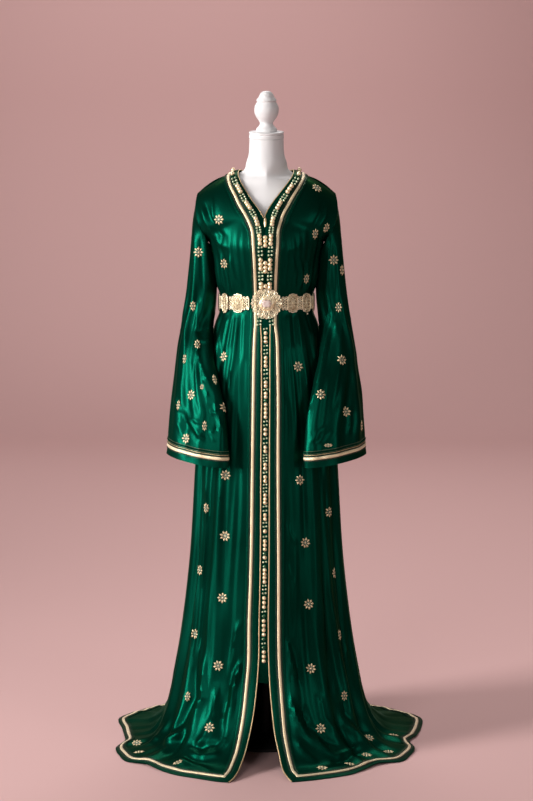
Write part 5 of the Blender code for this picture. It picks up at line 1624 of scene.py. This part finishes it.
# Near-black threads beside every braid, partly painted shadow.
gathered("threads_and_painted_shadow", thread_and_shadow_parts, thread_and_shadow_finish)
gathered("hatch_stitches", hatch_parts, thread_olive)
gathered("dot_stitches", dot_parts, thread_grey)
gathered("cuff_ropes", rope_parts, band_satin)
gathered("cuff_lines", dim_parts, thread_olive)
print("cords:", len(cord_parts), "threads:", len(thread_and_shadow_parts), "stitches:", len(hatch_parts) + len(dot_parts))

# %% [markdown]
# ## Placket and buttons
# Behind the opening hangs a strip of satin, and down its middle run small thread buttons, each one a
# knot of gold or green. The same knots run in a row along each side of the neck, in turns of three
# gold ones and three pairs of small green ones.

# %% Placket
def placket_piece():
    """A strip between the two edges of the opening, just behind them."""
    left, right = shaped["front_left"], shaped["front_right"]
    first, last = left.rows[row_index("vee")], left.rows[row_index("opening")]
    rows = slice(first, last + 1)
    a, na = left.points[rows], left.normals[rows]
    b, nb = right.points[rows], right.normals[rows]
    reach = left.columns[1] // 2
    ends = (a[:, reach] - na[:, reach] * 0.0024, b[:, reach] - nb[:, reach] * 0.0024)
    ahead = unit(na[:, 0] + nb[:, 0])
    middle = (a[:, 0] + b[:, 0]) / 2 - ahead * 0.0024
    grid = np.stack([ends[0], (ends[0] + middle) / 2, middle, (middle + ends[1]) / 2, ends[1]], axis=1)
    fall = np.array([[0.0, 0.0006, -0.0075]]) * np.arange(1, 8)[:, None]
    grid = np.concatenate([grid, grid[-1][None] + fall[:, None, :]])
    grid, _ = turned_grid(grid, 0.004)
    normals = facing(grid)
    thing = shell("placket_strip", grid, grid - normals * CLOTH, band_satin, "satin")
    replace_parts(thing, "placket")
    ahead = np.concatenate([ahead, np.repeat(ahead[-1:], 7, axis=0)])
    return thing, np.concatenate([middle, middle[-1] + fall]), ahead


placket, placket_line, placket_ahead = placket_piece()
print("placket from", round(float(placket_line[0, 2]), 3), "to", round(float(placket_line[-1, 2]), 3))

# %% [markdown]
# The order of the buttons is read straight off the picture: each list gives the height of a button
# in pixels, and its kind. A gold knot is g, a round green one d, and p is a green knot between two
# little pearly ones.

# %% Order of the buttons
NECK_ROW = """
    171.5g 175g 179p 181.7p 184.2p 187g 189.8g 192.6g 195.6p 198p 200.4p 203.4g 206g 208.6g 211.2p
    213.6p 216p 219g 222g 225g 228p 230.6p 233p 236.4g 240g 243.8g 247.5p 251.2p 255p 259.6g 264g 268.2g
    272.3p 275.8p 279.2p 283.3g 286.8g
"""
BODICE_ROW = "238g 241.7g 245.6g 262.6g 267g 270.8g 285.4g"
UNDER_BELT = "317.8p 321.2p 324.8p"
SKIRT_ROW = """
    329p 333.5g 338g 342g 346p 350p 353.5p 358g 362g 366g 370p 374p 378.4p 382.5g 386g 389.6p 393.5g
    397g 400.5d 404.5g 409g 413g 417g 421.4p 425.2p 429.6g 434g 438.5p 443p 447.2g 451.2g 455p 458p 461p
    464.6g 468.4g 472.5p 477g 481g 484.6p 488p 491.4p 495g 499g 502.6g 506.4p 510.6p 515g 519g 522.7p
    526.5p 531.2g 536.5p 541g 545g 549.2g 553.4d 557.5g 562p 566.3d 570g 574g 577.7g 581.8g 585.6p
    589.3p 593.2p 598g 602.5g 607g 611.6p 616d 620.8g 625.5g 630g 634.6g 639d 643.4p 647.4d 652g 656.5g
    661g
"""


def order_of(text):
    return [(float(word[:-1]), word[-1]) for word in text.split()]


print("buttons:", [len(order_of(text)) for text in (NECK_ROW, BODICE_ROW, UNDER_BELT, SKIRT_ROW)])

# %% Buttons
BUTTON = 0.0053  # radius of a gold knot
SMALL_BUTTON = 0.0026


def at_heights(line, normals, heights):
    """Places, facings and headings on a path where it is seen at the given heights in the picture."""
    rows = seen(line)[:, 1]
    order = np.argsort(rows)
    ways = np.gradient(line, axis=0)
    columns = np.concatenate([line, normals, ways], axis=1)[order]
    found = np.stack([np.interp(heights, rows[order], columns[:, axis]) for axis in range(9)], axis=1)
    return found[:, :3], unit(found[:, 3:6]), unit(found[:, 6:])


def button_row(line, normals, text, size=1.0):
    """Gold, pearly and green parts of one row."""
    order = order_of(text)
    big, small = BUTTON * size, SMALL_BUTTON * size
    gold, pearl, green = [], [], []
    places = at_heights(line, normals, [height for height, _ in order])
    for (_, kind), spot, way, heading in zip(order, *places):
        beside = unit(np.cross(way, heading))
        if kind == "g":
            gold.append(ball(spot + way * big * 0.8, big, 14, 10, 0.05, heading))
        elif kind == "d":
            green.append(ball(spot + way * big * 0.7, big * 0.9, 12, 8, 0.08, heading))
            pearl.append(ball(spot + way * big * 1.1 - beside * 0.0026, 0.0018, 8, 6))
        else:
            green.append(ball(spot + way * 0.0019, 0.0022, 10, 7, 0.1, heading))
            for turn in (-1, 1):
                lean = heading * (0.0006 if turn < 0 else -0.0004)
                place = spot + beside * turn * 0.0037 * size + lean + way * small * 0.9
                pearl.append(ball(place, small, 10, 7, 0.06, heading))
    return gold, pearl, green


def placket_part(low, high):
    keep = (placket_line[:, 2] > low) & (placket_line[:, 2] < high)
    return placket_line[keep] + placket_ahead[keep] * 0.0004, placket_ahead[keep]


BODICE_BUTTONS = (1.13, 1.30)  # heights between which each row of buttons runs
SKIRT_BUTTONS = (0.20, 1.075)
bodice_line, bodice_ways = placket_part(*BODICE_BUTTONS)
rows_of_buttons = {
    "buttons_skirt": [button_row(*placket_part(*SKIRT_BUTTONS), SKIRT_ROW, 0.9)],
    "buttons_bodice": [button_row(bodice_line + bodice_ways * 0.0036, bodice_ways, BODICE_ROW)],
}
for side in ("left", "right"):
    panel = shaped[f"front_{side}"]
    edge, edge_normals = column_line(panel, 0)
    braid, braid_normals = column_line(panel, 1)
    share = np.interp(edge[:, 2], [1.25, 1.31], [0.46, 0.60])[:, None]
    line = edge * (1 - share) + braid * share
    normals = unit(edge_normals * (1 - share) + braid_normals * share)
    line = line + normals * (EDGE_LIFT + 0.0012)
    upper, lower = line[:, 2] > 1.140, (line[:, 2] > 1.03) & (line[:, 2] < 1.085)
    rows_of_buttons[f"beads_{side}"] = [
        button_row(line[upper], normals[upper], NECK_ROW, 1.04),
        button_row(line[lower], normals[lower], UNDER_BELT),
    ]
for node, rows in rows_of_buttons.items():
    gold, pearl, green = ([part for row in rows for part in row[kind]] for kind in range(3))
    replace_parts(gathered("gold_" + node, gold, button_gold), node)
    if pearl:
        gathered("pearly_" + node, pearl, button_pearl)
        gathered("green_" + node, green, button_green)
print("buttons made for", sorted(rows_of_buttons))

# %% Tab at the point of the neck
tip, _ = hit_pixel((265.1, 222.5))
tab_line = np.array([tip + np.array([0, -0.0025, z]) for z in np.linspace(0.0105, -0.0105, 14)])
tab_line[:, 1] -= np.linspace(-0.0036, 0.0036, 14)
tab_radius = 0.0010 + 0.0023 * np.sin(np.pi * np.linspace(0.08, 0.92, 14)) ** 0.6
gathered("neck_tab", [tube(tab_line, tab_radius, 12)], button_gold)
print("neck tab at", tip.round(3))

# %% [markdown]
# ## Belt
# The belt is cast and pierced. The medallion has twelve petals of looped wire round a fluted boss,
# rings of fine grains and a faceted stone in claws. Each plate is a scalloped frame filled with
# scrolls, and the links between are pierced rungs. Wire, grains and domes make all of it.

# %% Belt makers
Axes = namedtuple("Axes", "middle across up out")


def axes_of(node):
    """The middle of a flat solid and its own directions, read off its shape."""
    points = np.array([vertex.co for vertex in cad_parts[node].data.vertices])
    middle = points.mean(axis=0)
    _, vectors = np.linalg.eigh(np.cov((points - middle)[:, :2].T))
    out = np.array([*vectors[:, 0], 0.0])
    if out @ (middle * [1, 1, 0]) < 0:
        out = -out
    across = np.cross([0.0, 0.0, 1.0], out)
    local = np.stack([(points - middle) @ across, points[:, 2], (points - middle) @ out], axis=-1)
    centre = (local.min(axis=0) + local.max(axis=0)) / 2
    middle = middle + across * centre[0] + out * centre[2]
    middle[2] = centre[1]
    return Axes(middle, across, np.array([0.0, 0.0, 1.0]), out)


def on_axes(axes, flat, height):
    """Points of a flat drawing, in metres, set on a plate's own directions."""
    flat = np.atleast_2d(np.asarray(flat, float))
    return axes.middle + flat[:, :1] * axes.across + flat[:, 1:2] * axes.up + np.reshape(
        height, (-1, 1)
    ) * axes.out


def arc(centre, radius, start, end, count=12, squash=1.0, turn=0.0):
    at = np.radians(np.linspace(start, end, count))
    x, z = radius * np.cos(at), radius * squash * np.sin(at)
    c, s = math.cos(turn), math.sin(turn)
    return np.stack([centre[0] + x * c - z * s, centre[1] + x * s + z * c], axis=-1)


def loop_of(axes, line, height, radius, sides=7):
    """A closed wire over a drawn loop."""
    return tube(on_axes(axes, line[:-1], height), radius, sides, closed=True)


def wire_of(axes, line, height, radius, sides=7):
    return tube(on_axes(axes, line, height), radius, sides)


def plate_slab(axes, outline, low, high):
    """A flat slab from a drawn outline, between two heights, with a bevelled top edge."""
    outline = np.asarray(outline)
    inset = outline * 0.965
    rings = [on_axes(axes, outline, low), on_axes(axes, outline, high - 0.0003), on_axes(axes, inset, high)]
    count = len(outline)
    points = np.concatenate(rings + [on_axes(axes, [(0.0, 0.0)], high), on_axes(axes, [(0.0, 0.0)], low)])
    faces = ring_faces(3, count)
    top, bottom = 3 * count, 3 * count + 1
    for step in range(count):
        after = (step + 1) % count
        faces.append([2 * count + step, 2 * count + after, top])
        faces.append([after, step, bottom])
    return points, faces, None


def scalloped(width, height, count=72):
    """The outline of a plate: shallow scallops with small points between."""
    at = np.linspace(0, 2 * math.pi, count, endpoint=False)
    swell = 1 + 0.075 * np.abs(np.cos(at * 6)) - 0.05
    x = np.sign(np.cos(at)) * np.abs(np.cos(at)) ** 0.62 * width / 2 * swell
    z = np.sign(np.sin(at)) * np.abs(np.sin(at)) ** 0.66 * height / 2 * swell
    return np.stack([x, z], axis=-1)


def grain_at(axes, spot, height, size):
    return ball(on_axes(axes, [spot], height)[0], size, 7, 5)


def plate_parts(axes, width=0.0315, height=0.0452):
    """The frame, scrolls and grains of a plate; its ground is a slab of its own."""
    outline = scalloped(width, height)
    closed = np.concatenate([outline, outline[:1]])
    parts = [loop_of(axes, closed * 0.97, 0.0008, 0.0010), loop_of(axes, closed * 0.78, 0.0007, 0.0006)]
    for ring, count, size in ((0.875, 26, 0.0011), (0.66, 18, 0.0009), (0.30, 8, 0.0009)):
        parts += [
            grain_at(axes, closed[int(step / count * 72)] * ring, 0.0009, size) for step in range(count)
        ]
    for petal in range(8):
        turn = math.pi * petal / 4
        way = np.array([math.cos(turn), math.sin(turn) * 1.35])
        parts.append(loop_of(axes, arc(way * 0.0036, 0.0022, 0, 360, 12, 0.6, turn), 0.0010, 0.0005, 6))
        parts.append(loop_of(axes, arc(way * 0.0078, 0.0024, 0, 360, 12, 0.75, turn), 0.0009, 0.0006, 6))
    parts.append(grain_at(axes, (0.0, 0.0), 0.0009, 0.0021))
    return parts


def link_parts(axes, width=0.0188, height=0.0312):
    """Pierced rungs: rings in two columns, grains where they meet, and lobes above and below."""
    parts = []
    for sign in (-1, 1):
        rail = np.array([(sign * width * 0.44, z) for z in np.linspace(-height * 0.38, height * 0.38, 5)])
        parts.append(wire_of(axes, rail, -0.0004, 0.0010))
        for x in (-0.0046, 0.0046):
            parts.append(
                loop_of(axes, arc((x, sign * height * 0.42), 0.0030, 0, 360, 14, 0.85), 0.0002, 0.0011)
            )
    for row in range(4):
        z = (row - 1.5) * 0.0062
        for x in (-0.0044, 0.0044):
            parts.append(loop_of(axes, arc((x, z), 0.0031, 0, 360, 14, 0.92), 0.0002, 0.0011))
        parts += [grain_at(axes, (x, z), 0.0006, 0.0015) for x in (-width * 0.46, 0.0, width * 0.46)]
    parts += [
        grain_at(axes, (x, (row - 1) * 0.0062), 0.0010, 0.0012) for x in (-0.0044, 0.0044) for row in range(3)
    ]
    return parts


grounds = []
for node in sorted(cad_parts):
    if node.startswith("belt_plate"):
        axes = axes_of(node)
        # Each plate's slab is coloured dark brown, partly patina and partly painted shade in the hollows of
        # the pierced work.
        grounds.append(plate_slab(axes, scalloped(0.0305, 0.0440), -0.0007, 0.0004))
        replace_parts(gathered("pierced" + node[4:], plate_parts(axes), belt_gold), node)
    elif node.startswith("belt_link"):
        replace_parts(gathered("pierced" + node[4:], link_parts(axes_of(node)), belt_gold), node)
gathered("plate_grounds", grounds, plate_ground_patina_shade)
print("belt plates and links:", sum(node.startswith(("belt_plate", "belt_link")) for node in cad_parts))

# %% Medallion
low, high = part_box("belt_medallion")
MEDALLION = Axes(
    middle=np.array([0.0, (low.y + high.y) / 2, (low.z + high.z) / 2]),
    across=np.array([1.0, 0.0, 0.0]),
    up=np.array([0.0, 0.0, 1.0]),
    out=np.array([0.0, -1.0, 0.0]),
)


def medallion_parts():
    """Twelve open petals of wire, each with a small loop and grains, and little lobes between."""
    axes = MEDALLION
    at = np.linspace(0, 2 * math.pi, 33)
    out = (1 - np.cos(at)) / 2  # 0 at the petal's root, 1 at its tip
    parts = [loop_of(axes, np.stack([np.cos(at), np.sin(at)], axis=-1) * 0.0166, 0.0012, 0.0014, 8)]
    for petal in range(12):
        turn = math.pi / 2 + math.pi * petal / 6
        way = np.array([math.cos(turn), math.sin(turn)])
        beside = np.array([-way[1], way[0]])
        middle = np.array([math.cos(turn + math.pi / 12), math.sin(turn + math.pi / 12)])
        petal_line = np.outer(0.0160 + 0.0202 * out, way) + np.outer(
            0.0068 * np.sin(at) * (0.40 + 0.60 * out), beside
        )
        parts.append(loop_of(axes, petal_line, 0.0014 - 0.0010 * out[:-1], 0.00125, 8))
        parts.append(loop_of(axes, arc(way * 0.0302, 0.0031, 0, 360, 18, 0.85, turn), 0.0006, 0.0010))
        vein = np.array([way * 0.0170, way * 0.0270])
        parts.append(wire_of(axes, vein, 0.0014, 0.0007))
        parts.append(loop_of(axes, arc(middle * 0.0338, 0.0028, 0, 360, 14, 1.0, turn), 0.0002, 0.0010))
        parts.append(loop_of(axes, arc(middle * 0.0205, 0.0023, 0, 360, 12, 0.8, turn), 0.0026, 0.0009))
        for spot, height, size in (
            (way * 0.0368, 0.0006, 0.0015), (way * 0.0302, 0.0012, 0.0011), (way * 0.0245, 0.0020, 0.0014),
            (middle * 0.0362, 0.0006, 0.0014), (middle * 0.0268, 0.0018, 0.0017),
        ):
            parts.append(grain_at(axes, spot, height, size))
    return parts


def boss_parts():
    """A fluted dish round the stone, two rings of grains and eight claws."""
    axes = MEDALLION
    profile = [
        (0.0176, 0.0010), (0.0176, 0.0018), (0.0166, 0.0032), (0.0146, 0.0044), (0.0130, 0.0048),
        (0.0120, 0.0046)
    ]
    count = 72
    at = 2 * math.pi * np.arange(count) / count
    flute = 1 + 0.035 * np.cos(12 * at)
    rings = []
    for radius, height in profile:
        drawn = np.stack([radius * flute * np.cos(at), radius * flute * np.sin(at)], axis=-1)
        rings.append(on_axes(axes, drawn, height))
    faces = ring_faces(len(profile), count)
    faces += [list(range(count))[::-1], [(len(profile) - 1) * count + step for step in range(count)]]
    parts = [(np.concatenate(rings), faces, None)]
    for radius, number, size, height in ((0.0170, 24, 0.0013, 0.0030), (0.0136, 24, 0.0010, 0.0052)):
        for turn in 2 * math.pi * np.arange(number) / number:
            parts.append(grain_at(axes, (radius * math.cos(turn), radius * math.sin(turn)), height, size))
    reach = np.array([0.0120, 0.0117, 0.0106, 0.0094])
    rise, thickness = np.array([0.0048, 0.0068, 0.0084, 0.0090]), np.array([0.0011, 0.0010, 0.0009, 0.0006])
    for turn in 2 * math.pi * (np.arange(8) + 0.5) / 8:
        claw = np.stack([math.cos(turn) * reach * 1.06, math.sin(turn) * reach * 0.94], axis=-1)
        parts.append(tube(on_axes(axes, claw, rise), thickness, 7))
    return parts


def stone_parts():
    """A cushion cut: a rounded square, a wide girdle, slanting facets and a flat table."""
    axes = MEDALLION
    rows = []
    for size, height in ((0.0098, 0.0050), (0.0106, 0.0068), (0.0086, 0.0088), (0.0056, 0.0097)):
        turns = 2 * math.pi * (np.arange(16) + 0.5) / 16
        c, s = np.cos(turns), np.sin(turns)
        reach = size / (np.abs(c) ** 3 + np.abs(s) ** 3) ** (1 / 3)
        rows.append(on_axes(axes, np.stack([reach * c * 1.06, reach * s * 0.92], axis=-1), height))
    faces = []
    for ring in range(3):
        for step in range(16):
            after = (step + 1) % 16
            a, b = ring * 16 + step, ring * 16 + after
            c, d = (ring + 1) * 16 + after, (ring + 1) * 16 + step
            faces += [[a, b, c], [a, c, d]] if step % 2 else [[a, b, d], [b, c, d]]
    faces += [list(range(16))[::-1], [48 + step for step in range(16)]]
    return [(np.concatenate(rows), faces, None)]


medallion = gathered("medallion_petals", medallion_parts(), belt_gold)
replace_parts(medallion, "belt_medallion")
boss = gathered("medallion_boss", boss_parts(), belt_gold, 45)
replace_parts(boss, "belt_setting")
stone = gathered("medallion_stone", stone_parts(), stone_clear, 5)
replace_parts(stone, "belt_stone")
print("medallion faces:", len(medallion.data.polygons) + len(boss.data.polygons))

# %% Little beads that hang from the belt
dangles = []
for column, row, radius in (
    (225.2, 309.6, 0.0024),
    (226.4, 312.0, 0.0028),
    (224.8, 312.6, 0.0020),
    (305.0, 309.2, 0.0026),
    (308.8, 309.2, 0.0024),
    (306.6, 313.6, 0.0026),
):
    spot, normal = hit_pixel((column, row))
    dangles.append(ball(spot + normal * radius * 0.9, radius, 10, 7))
gathered("hung_beads", dangles, belt_gold)
print("hung beads:", len(dangles))

# %% [markdown]
# ## Embroidered flowers
# Small eight-pointed flowers are worked all over the satin: gold petals round a grey-green ring with
# a pale heart. Each petal is a low pad of thread. A flower is drawn flat, and every point of it is
# dropped on the cloth, so it bends with the folds.

# %% Flower makers
def pad(outline, height, inner=0.62):
    """A low pad over a drawn outline: (flat x, flat y, height) points and faces."""
    outline = np.asarray(outline)
    centre = outline.mean(axis=0)
    count = len(outline)
    rings = [
        np.column_stack([outline, np.full(count, -0.0002)]),
        np.column_stack([outline, np.full(count, height * 0.35)]),
        np.column_stack([centre + (outline - centre) * inner, np.full(count, height * 0.9)]),
        np.array([[*centre, height]]),
    ]
    faces = ring_faces(3, count)
    for step in range(count):
        faces.append([2 * count + step, 2 * count + (step + 1) % count, 3 * count])
    faces.append(list(range(count))[::-1])
    return np.concatenate(rings), faces


def flower(size):
    """The pads of one flower: gold petals, grey-green ring and pale heart."""
    gold, grey = [], []
    petal = [
        (0.42, 0.0), (0.48, 0.10), (0.60, 0.185), (0.72, 0.205), (0.87, 0.125), (1.04, 0.0), (0.87, -0.125),
        (0.72, -0.205), (0.60, -0.185), (0.48, -0.10)
    ]
    leaf = [(0.20, 0.0), (0.32, 0.095), (0.47, 0.0), (0.32, -0.095)]
    for number in range(8):
        for drawn, turn, height, parts in (
            (petal, math.pi * number / 4, 0.0012, gold), (leaf, math.pi * (number + 0.5) / 4, 0.0009, grey),
        ):
            c, s = math.cos(turn), math.sin(turn)
            parts.append(pad([(size * (x * c - y * s), size * (x * s + y * c)) for x, y in drawn], height))
    for radius, count, height, parts in ((0.47, 16, 0.0005, grey), (0.18, 10, 0.0013, gold)):
        turns = np.linspace(0, 2 * math.pi, count, endpoint=False)
        parts.append(pad(np.stack([np.cos(turns), np.sin(turns)], axis=1) * size * radius, height, 0.75))
    return gold, grey


def dropped(pads, spot, normal, owner, spin, narrow=1.0, short=1.0):
    """The pads laid on the cloth round a spot, or nothing where the cloth ends."""
    up = np.array([0.0, 0.0, 1.0]) if abs(normal[2]) < 0.8 else np.array([0.0, 1.0, 0.0])
    across = unit(np.cross(up, normal))
    up = np.cross(normal, across)
    across, up = across * math.cos(spin) + up * math.sin(spin), up * math.cos(spin) - across * math.sin(spin)
    laid = []
    for points, faces in pads:
        there = []
        for x, y, height in points:
            place = spot + across * x * narrow + up * y * short
            found = hit(place + normal * 0.02, -normal)
            if found is None or found[2] != owner or np.linalg.norm(found[0] - place) > 0.016:
                return None
            there.append(found[0] + found[1] * (height + 0.0003))
        laid.append((np.array(there), faces, None))
    return laid


print("cloth faces:", len(cloth_owner))

# %% Places of the flowers
FLOWER = 0.0128  # radius
FLOWER_GAP = 0.062  # least distance between the middles of two flowers
FLOWER_STEP, FLOWER_RISE = 0.082, 0.088  # the even spread, across and up
EDGE_GAP = 0.055  # least distance from a front's edges
# Where a flower is seen in the picture, and how much of its width and height the folds leave.
SEEN_FLOWERS = """
    317 188 0.8, 219 219.5 0.9, 315.2 234 0.6, 333.6 260 0.8, 224.4 263.6 0.75, 198.6 252.2 0.9,
    306.6 279 0.55, 338.6 307.4 0.65, 203 189.5 0.6, 196.6 211 0.5, 336.4 208 0.5, 326.5 228 0.5,
    214 255.3 0.4, 342 270 0.4, 193 306 0.55, 197.4 344.1 0.5, 223.7 356.7 1, 184.7 358.8 0.35,
    214.7 331.6 0.4, 191 395 0.75, 202.2 387 0.4 0.55, 214.7 379.4 0.35, 224.6 407.4 0.9,
    178.5 405 0.35, 204.6 425.9 0.45, 186.3 438.6 0.7, 225.7 475 1, 342.2 360 0.65, 298.1 366.6 1,
    317 339.9 0.5, 320.8 394.3 0.85, 345.6 411.6 0.6, 300.5 429.2 0.9, 328.4 445.3 0.8 0.35,
    300.2 480 1, 206 508.1 0.55, 225.4 536.1 1, 200 570.2 0.52, 222.6 597.9 1, 195.2 633.8 0.5,
    329.3 512 0.6, 305.2 542.7 1, 334.5 572.8 0.6, 308.7 604.2 1, 339.4 634.8 0.6, 218.4 665.6 1,
    187.6 696.5 0.5, 209.5 727.4 0.95, 177.7 762.4 1 0.6, 160 718.8 0.5, 137 743 0.8, 139 752 0.7 0.5,
    310.9 668.5 1, 344.2 695.8 0.6, 320.8 728.4 0.9, 369 737.6 0.8, 374.7 720.4 0.7, 393.6 735.3 0.7,
    388.5 751.8 0.8 0.6, 366.7 754.8 0.9 0.6, 322.4 768 0.9 0.7, 350 764 0.9 0.6
"""


def flower_places():
    """Where each flower's middle lies: the seen ones, then an even spread over the rest."""
    found = []
    for seen_spot in SEEN_FLOWERS.split(","):
        column, row, *shrink = map(float, seen_spot.split())
        spot = hit(CAMERA_PLACE, through((column, row)))
        if spot is not None:
            found.append((*spot, (*shrink, 1.0)[:2]))
    seen_count = len(found)
    for way in ((0, -1, 0), (1, 0, 0), (-1, 0, 0)):
        way = np.array(way, float)
        beside = np.array([way[1], -way[0], 0.0])
        for row in range(15):
            for step in range(-6, 7):
                start = np.array([0, 0, 0.10 + row * FLOWER_RISE]) - way * 2
                place = beside * (step + 0.5 * (row % 2)) * FLOWER_STEP + start
                spot = hit(place, way)
                if spot is None or spot[1] @ -way < 0.45 or spot[1][1] < (0.1 if way[1] else -0.35):
                    continue
                if min(np.linalg.norm(spot[0] - other[0]) for other in found) > FLOWER_GAP:
                    found.append((*spot, (1.0, 1.0)))
    return found, seen_count


places, seen_count = flower_places()
gold_pads, grey_pads = flower(FLOWER)
worked = {}
left_out = 0
for number, (spot, normal, owner, shrink) in enumerate(places):
    near = 1.0
    if owner.startswith("front") and number >= seen_count:
        edges = (shaped[owner].points[:, column] for column in (0, -1))
        near = min(np.linalg.norm(edge - spot, axis=1).min() for edge in edges)
    # A flower on a slope already looks narrow, so only the rest of the shrinking is drawn.
    tilt = abs(float(unit(spot - CAMERA_PLACE) @ np.array([normal[0], normal[1], 0.0])))
    narrow = min(1.0, shrink[0] / max(tilt, 0.4)) if number < seen_count else 1.0
    spin = 0.30 * math.sin(number * 2.4) if number >= seen_count or shrink[0] > 0.9 else 0.0
    gold = dropped(gold_pads, spot, normal, owner, spin, narrow, shrink[1]) if near > EDGE_GAP else None
    grey = dropped(grey_pads, spot, normal, owner, spin, narrow, shrink[1]) if gold else None
    if not gold or not grey:
        left_out += 1
        continue
    worked.setdefault(owner, ([], []))
    worked[owner][0].extend(gold)
    worked[owner][1].extend(grey)
for owner, (gold, grey) in worked.items():
    gathered("gold_flowers_" + owner, gold, thread_gold)
    gathered("grey_flowers_" + owner, grey, thread_grey)
print("flowers:", len(places) - left_out, "left out at an edge:", left_out)

# %% [markdown]
# ## Cut of the cloth
# Five pieces are cut from satin: two fronts, a back and two sleeves, and the bands and braids are sewn
# to them.

# %% [markdown]
# ## Studio
# The gown stands on a pale rose paper sweep that runs back and curves up into the wall, so no
# horizon line shows. A large soft light at the front left models the folds, a weaker one at the
# right opens the shadows, and two more light the paper and the shoulders.

# %% Sweep and lights
bpy.context.scene.view_settings.view_transform = "Standard"
paper = bpy.data.materials.new("paper")
paper.use_nodes = True
paint = paper.node_tree.nodes["Principled BSDF"]
mottle = add(paper.node_tree, "ShaderNodeTexNoise", Scale=3.0, Detail=2.0)
tone = between_colours(
    paper.node_tree, mottle.outputs[0], (0.63, 0.392, 0.375, 1.0), (0.66, 0.418, 0.40, 1.0)
)
paper.node_tree.links.new(tone, paint.inputs["Base Color"])
paint.inputs["Roughness"].default_value = 0.95
paint.inputs["Specular IOR Level"].default_value = 0.1
bend = [(6.2 + 2.2 * math.sin(a), 2.2 - 2.2 * math.cos(a)) for a in np.linspace(0, math.pi / 2, 25)]
profile = [(-10.0, 0.0)] + bend + [(8.4, 9.0)]
points = [(x, y, z) for y, z in profile for x in (-10.0, 10.0)]
faces = [(2 * i, 2 * i + 1, 2 * i + 3, 2 * i + 2) for i in range(len(profile) - 1)]
sweep_mesh = bpy.data.meshes.new("sweep")
sweep_mesh.from_pydata(points, [], faces)
sweep_mesh.shade_smooth()
sweep_mesh.materials.append(paper)
sweep = bpy.data.objects.new("sweep", sweep_mesh)
bpy.context.scene.collection.objects.link(sweep)


def soft_light(name, place, target, size, power, spread=180):
    lamp = bpy.data.lights.new(name, "AREA")
    lamp.shape = "RECTANGLE"
    lamp.size, lamp.size_y = size
    lamp.energy = power
    lamp.spread = math.radians(spread)
    thing = bpy.data.objects.new(name, lamp)
    thing.location = place
    thing.rotation_euler = (Vector(target) - Vector(place)).to_track_quat("-Z", "Y").to_euler()
    thing.visible_camera = False
    bpy.context.scene.collection.objects.link(thing)


soft_light("key", (-3.7, -1.7, 2.1), (0.0, 0.0, 1.10), (1.2, 2.2), 56.0, 80)
soft_light("front", (-1.5, -4.2, 2.6), (0.0, 0.0, 0.9), (1.6, 2.2), 54.0)
soft_light("fill", (3.0, -2.8, 1.7), (0.0, 0.0, 0.8), (1.0, 2.0), 22.0)
soft_light("top", (0.2, 1.6, 3.4), (0.0, 0.0, 1.1), (2.0, 1.0), 20.0)
soft_light("paper light", (-0.3, 3.4, 5.6), (0.0, 6.0, 0.3), (5.0, 2.0), 210.0)
glow = bpy.data.lights.new("wall glow", "SPOT")
glow.energy, glow.spot_size, glow.spot_blend, glow.shadow_soft_size = 200.0, math.radians(66), 1.0, 0.4
glow_thing = bpy.data.objects.new("wall glow", glow)
glow_thing.location = (-0.8, 4.0, 4.8)
glow_way = Vector((-0.7, 8.4, 2.3)) - Vector(glow_thing.location)
glow_thing.rotation_euler = glow_way.to_track_quat("-Z", "Y").to_euler()
bpy.context.scene.collection.objects.link(glow_thing)
world = bpy.data.worlds.new("studio")
bpy.context.scene.world = world
world.use_nodes = True
sky = world.node_tree.nodes["Background"]
sky.inputs["Color"].default_value = (0.60, 0.52, 0.51, 1.0)
sky.inputs["Strength"].default_value = 0.20
print("lights ready")
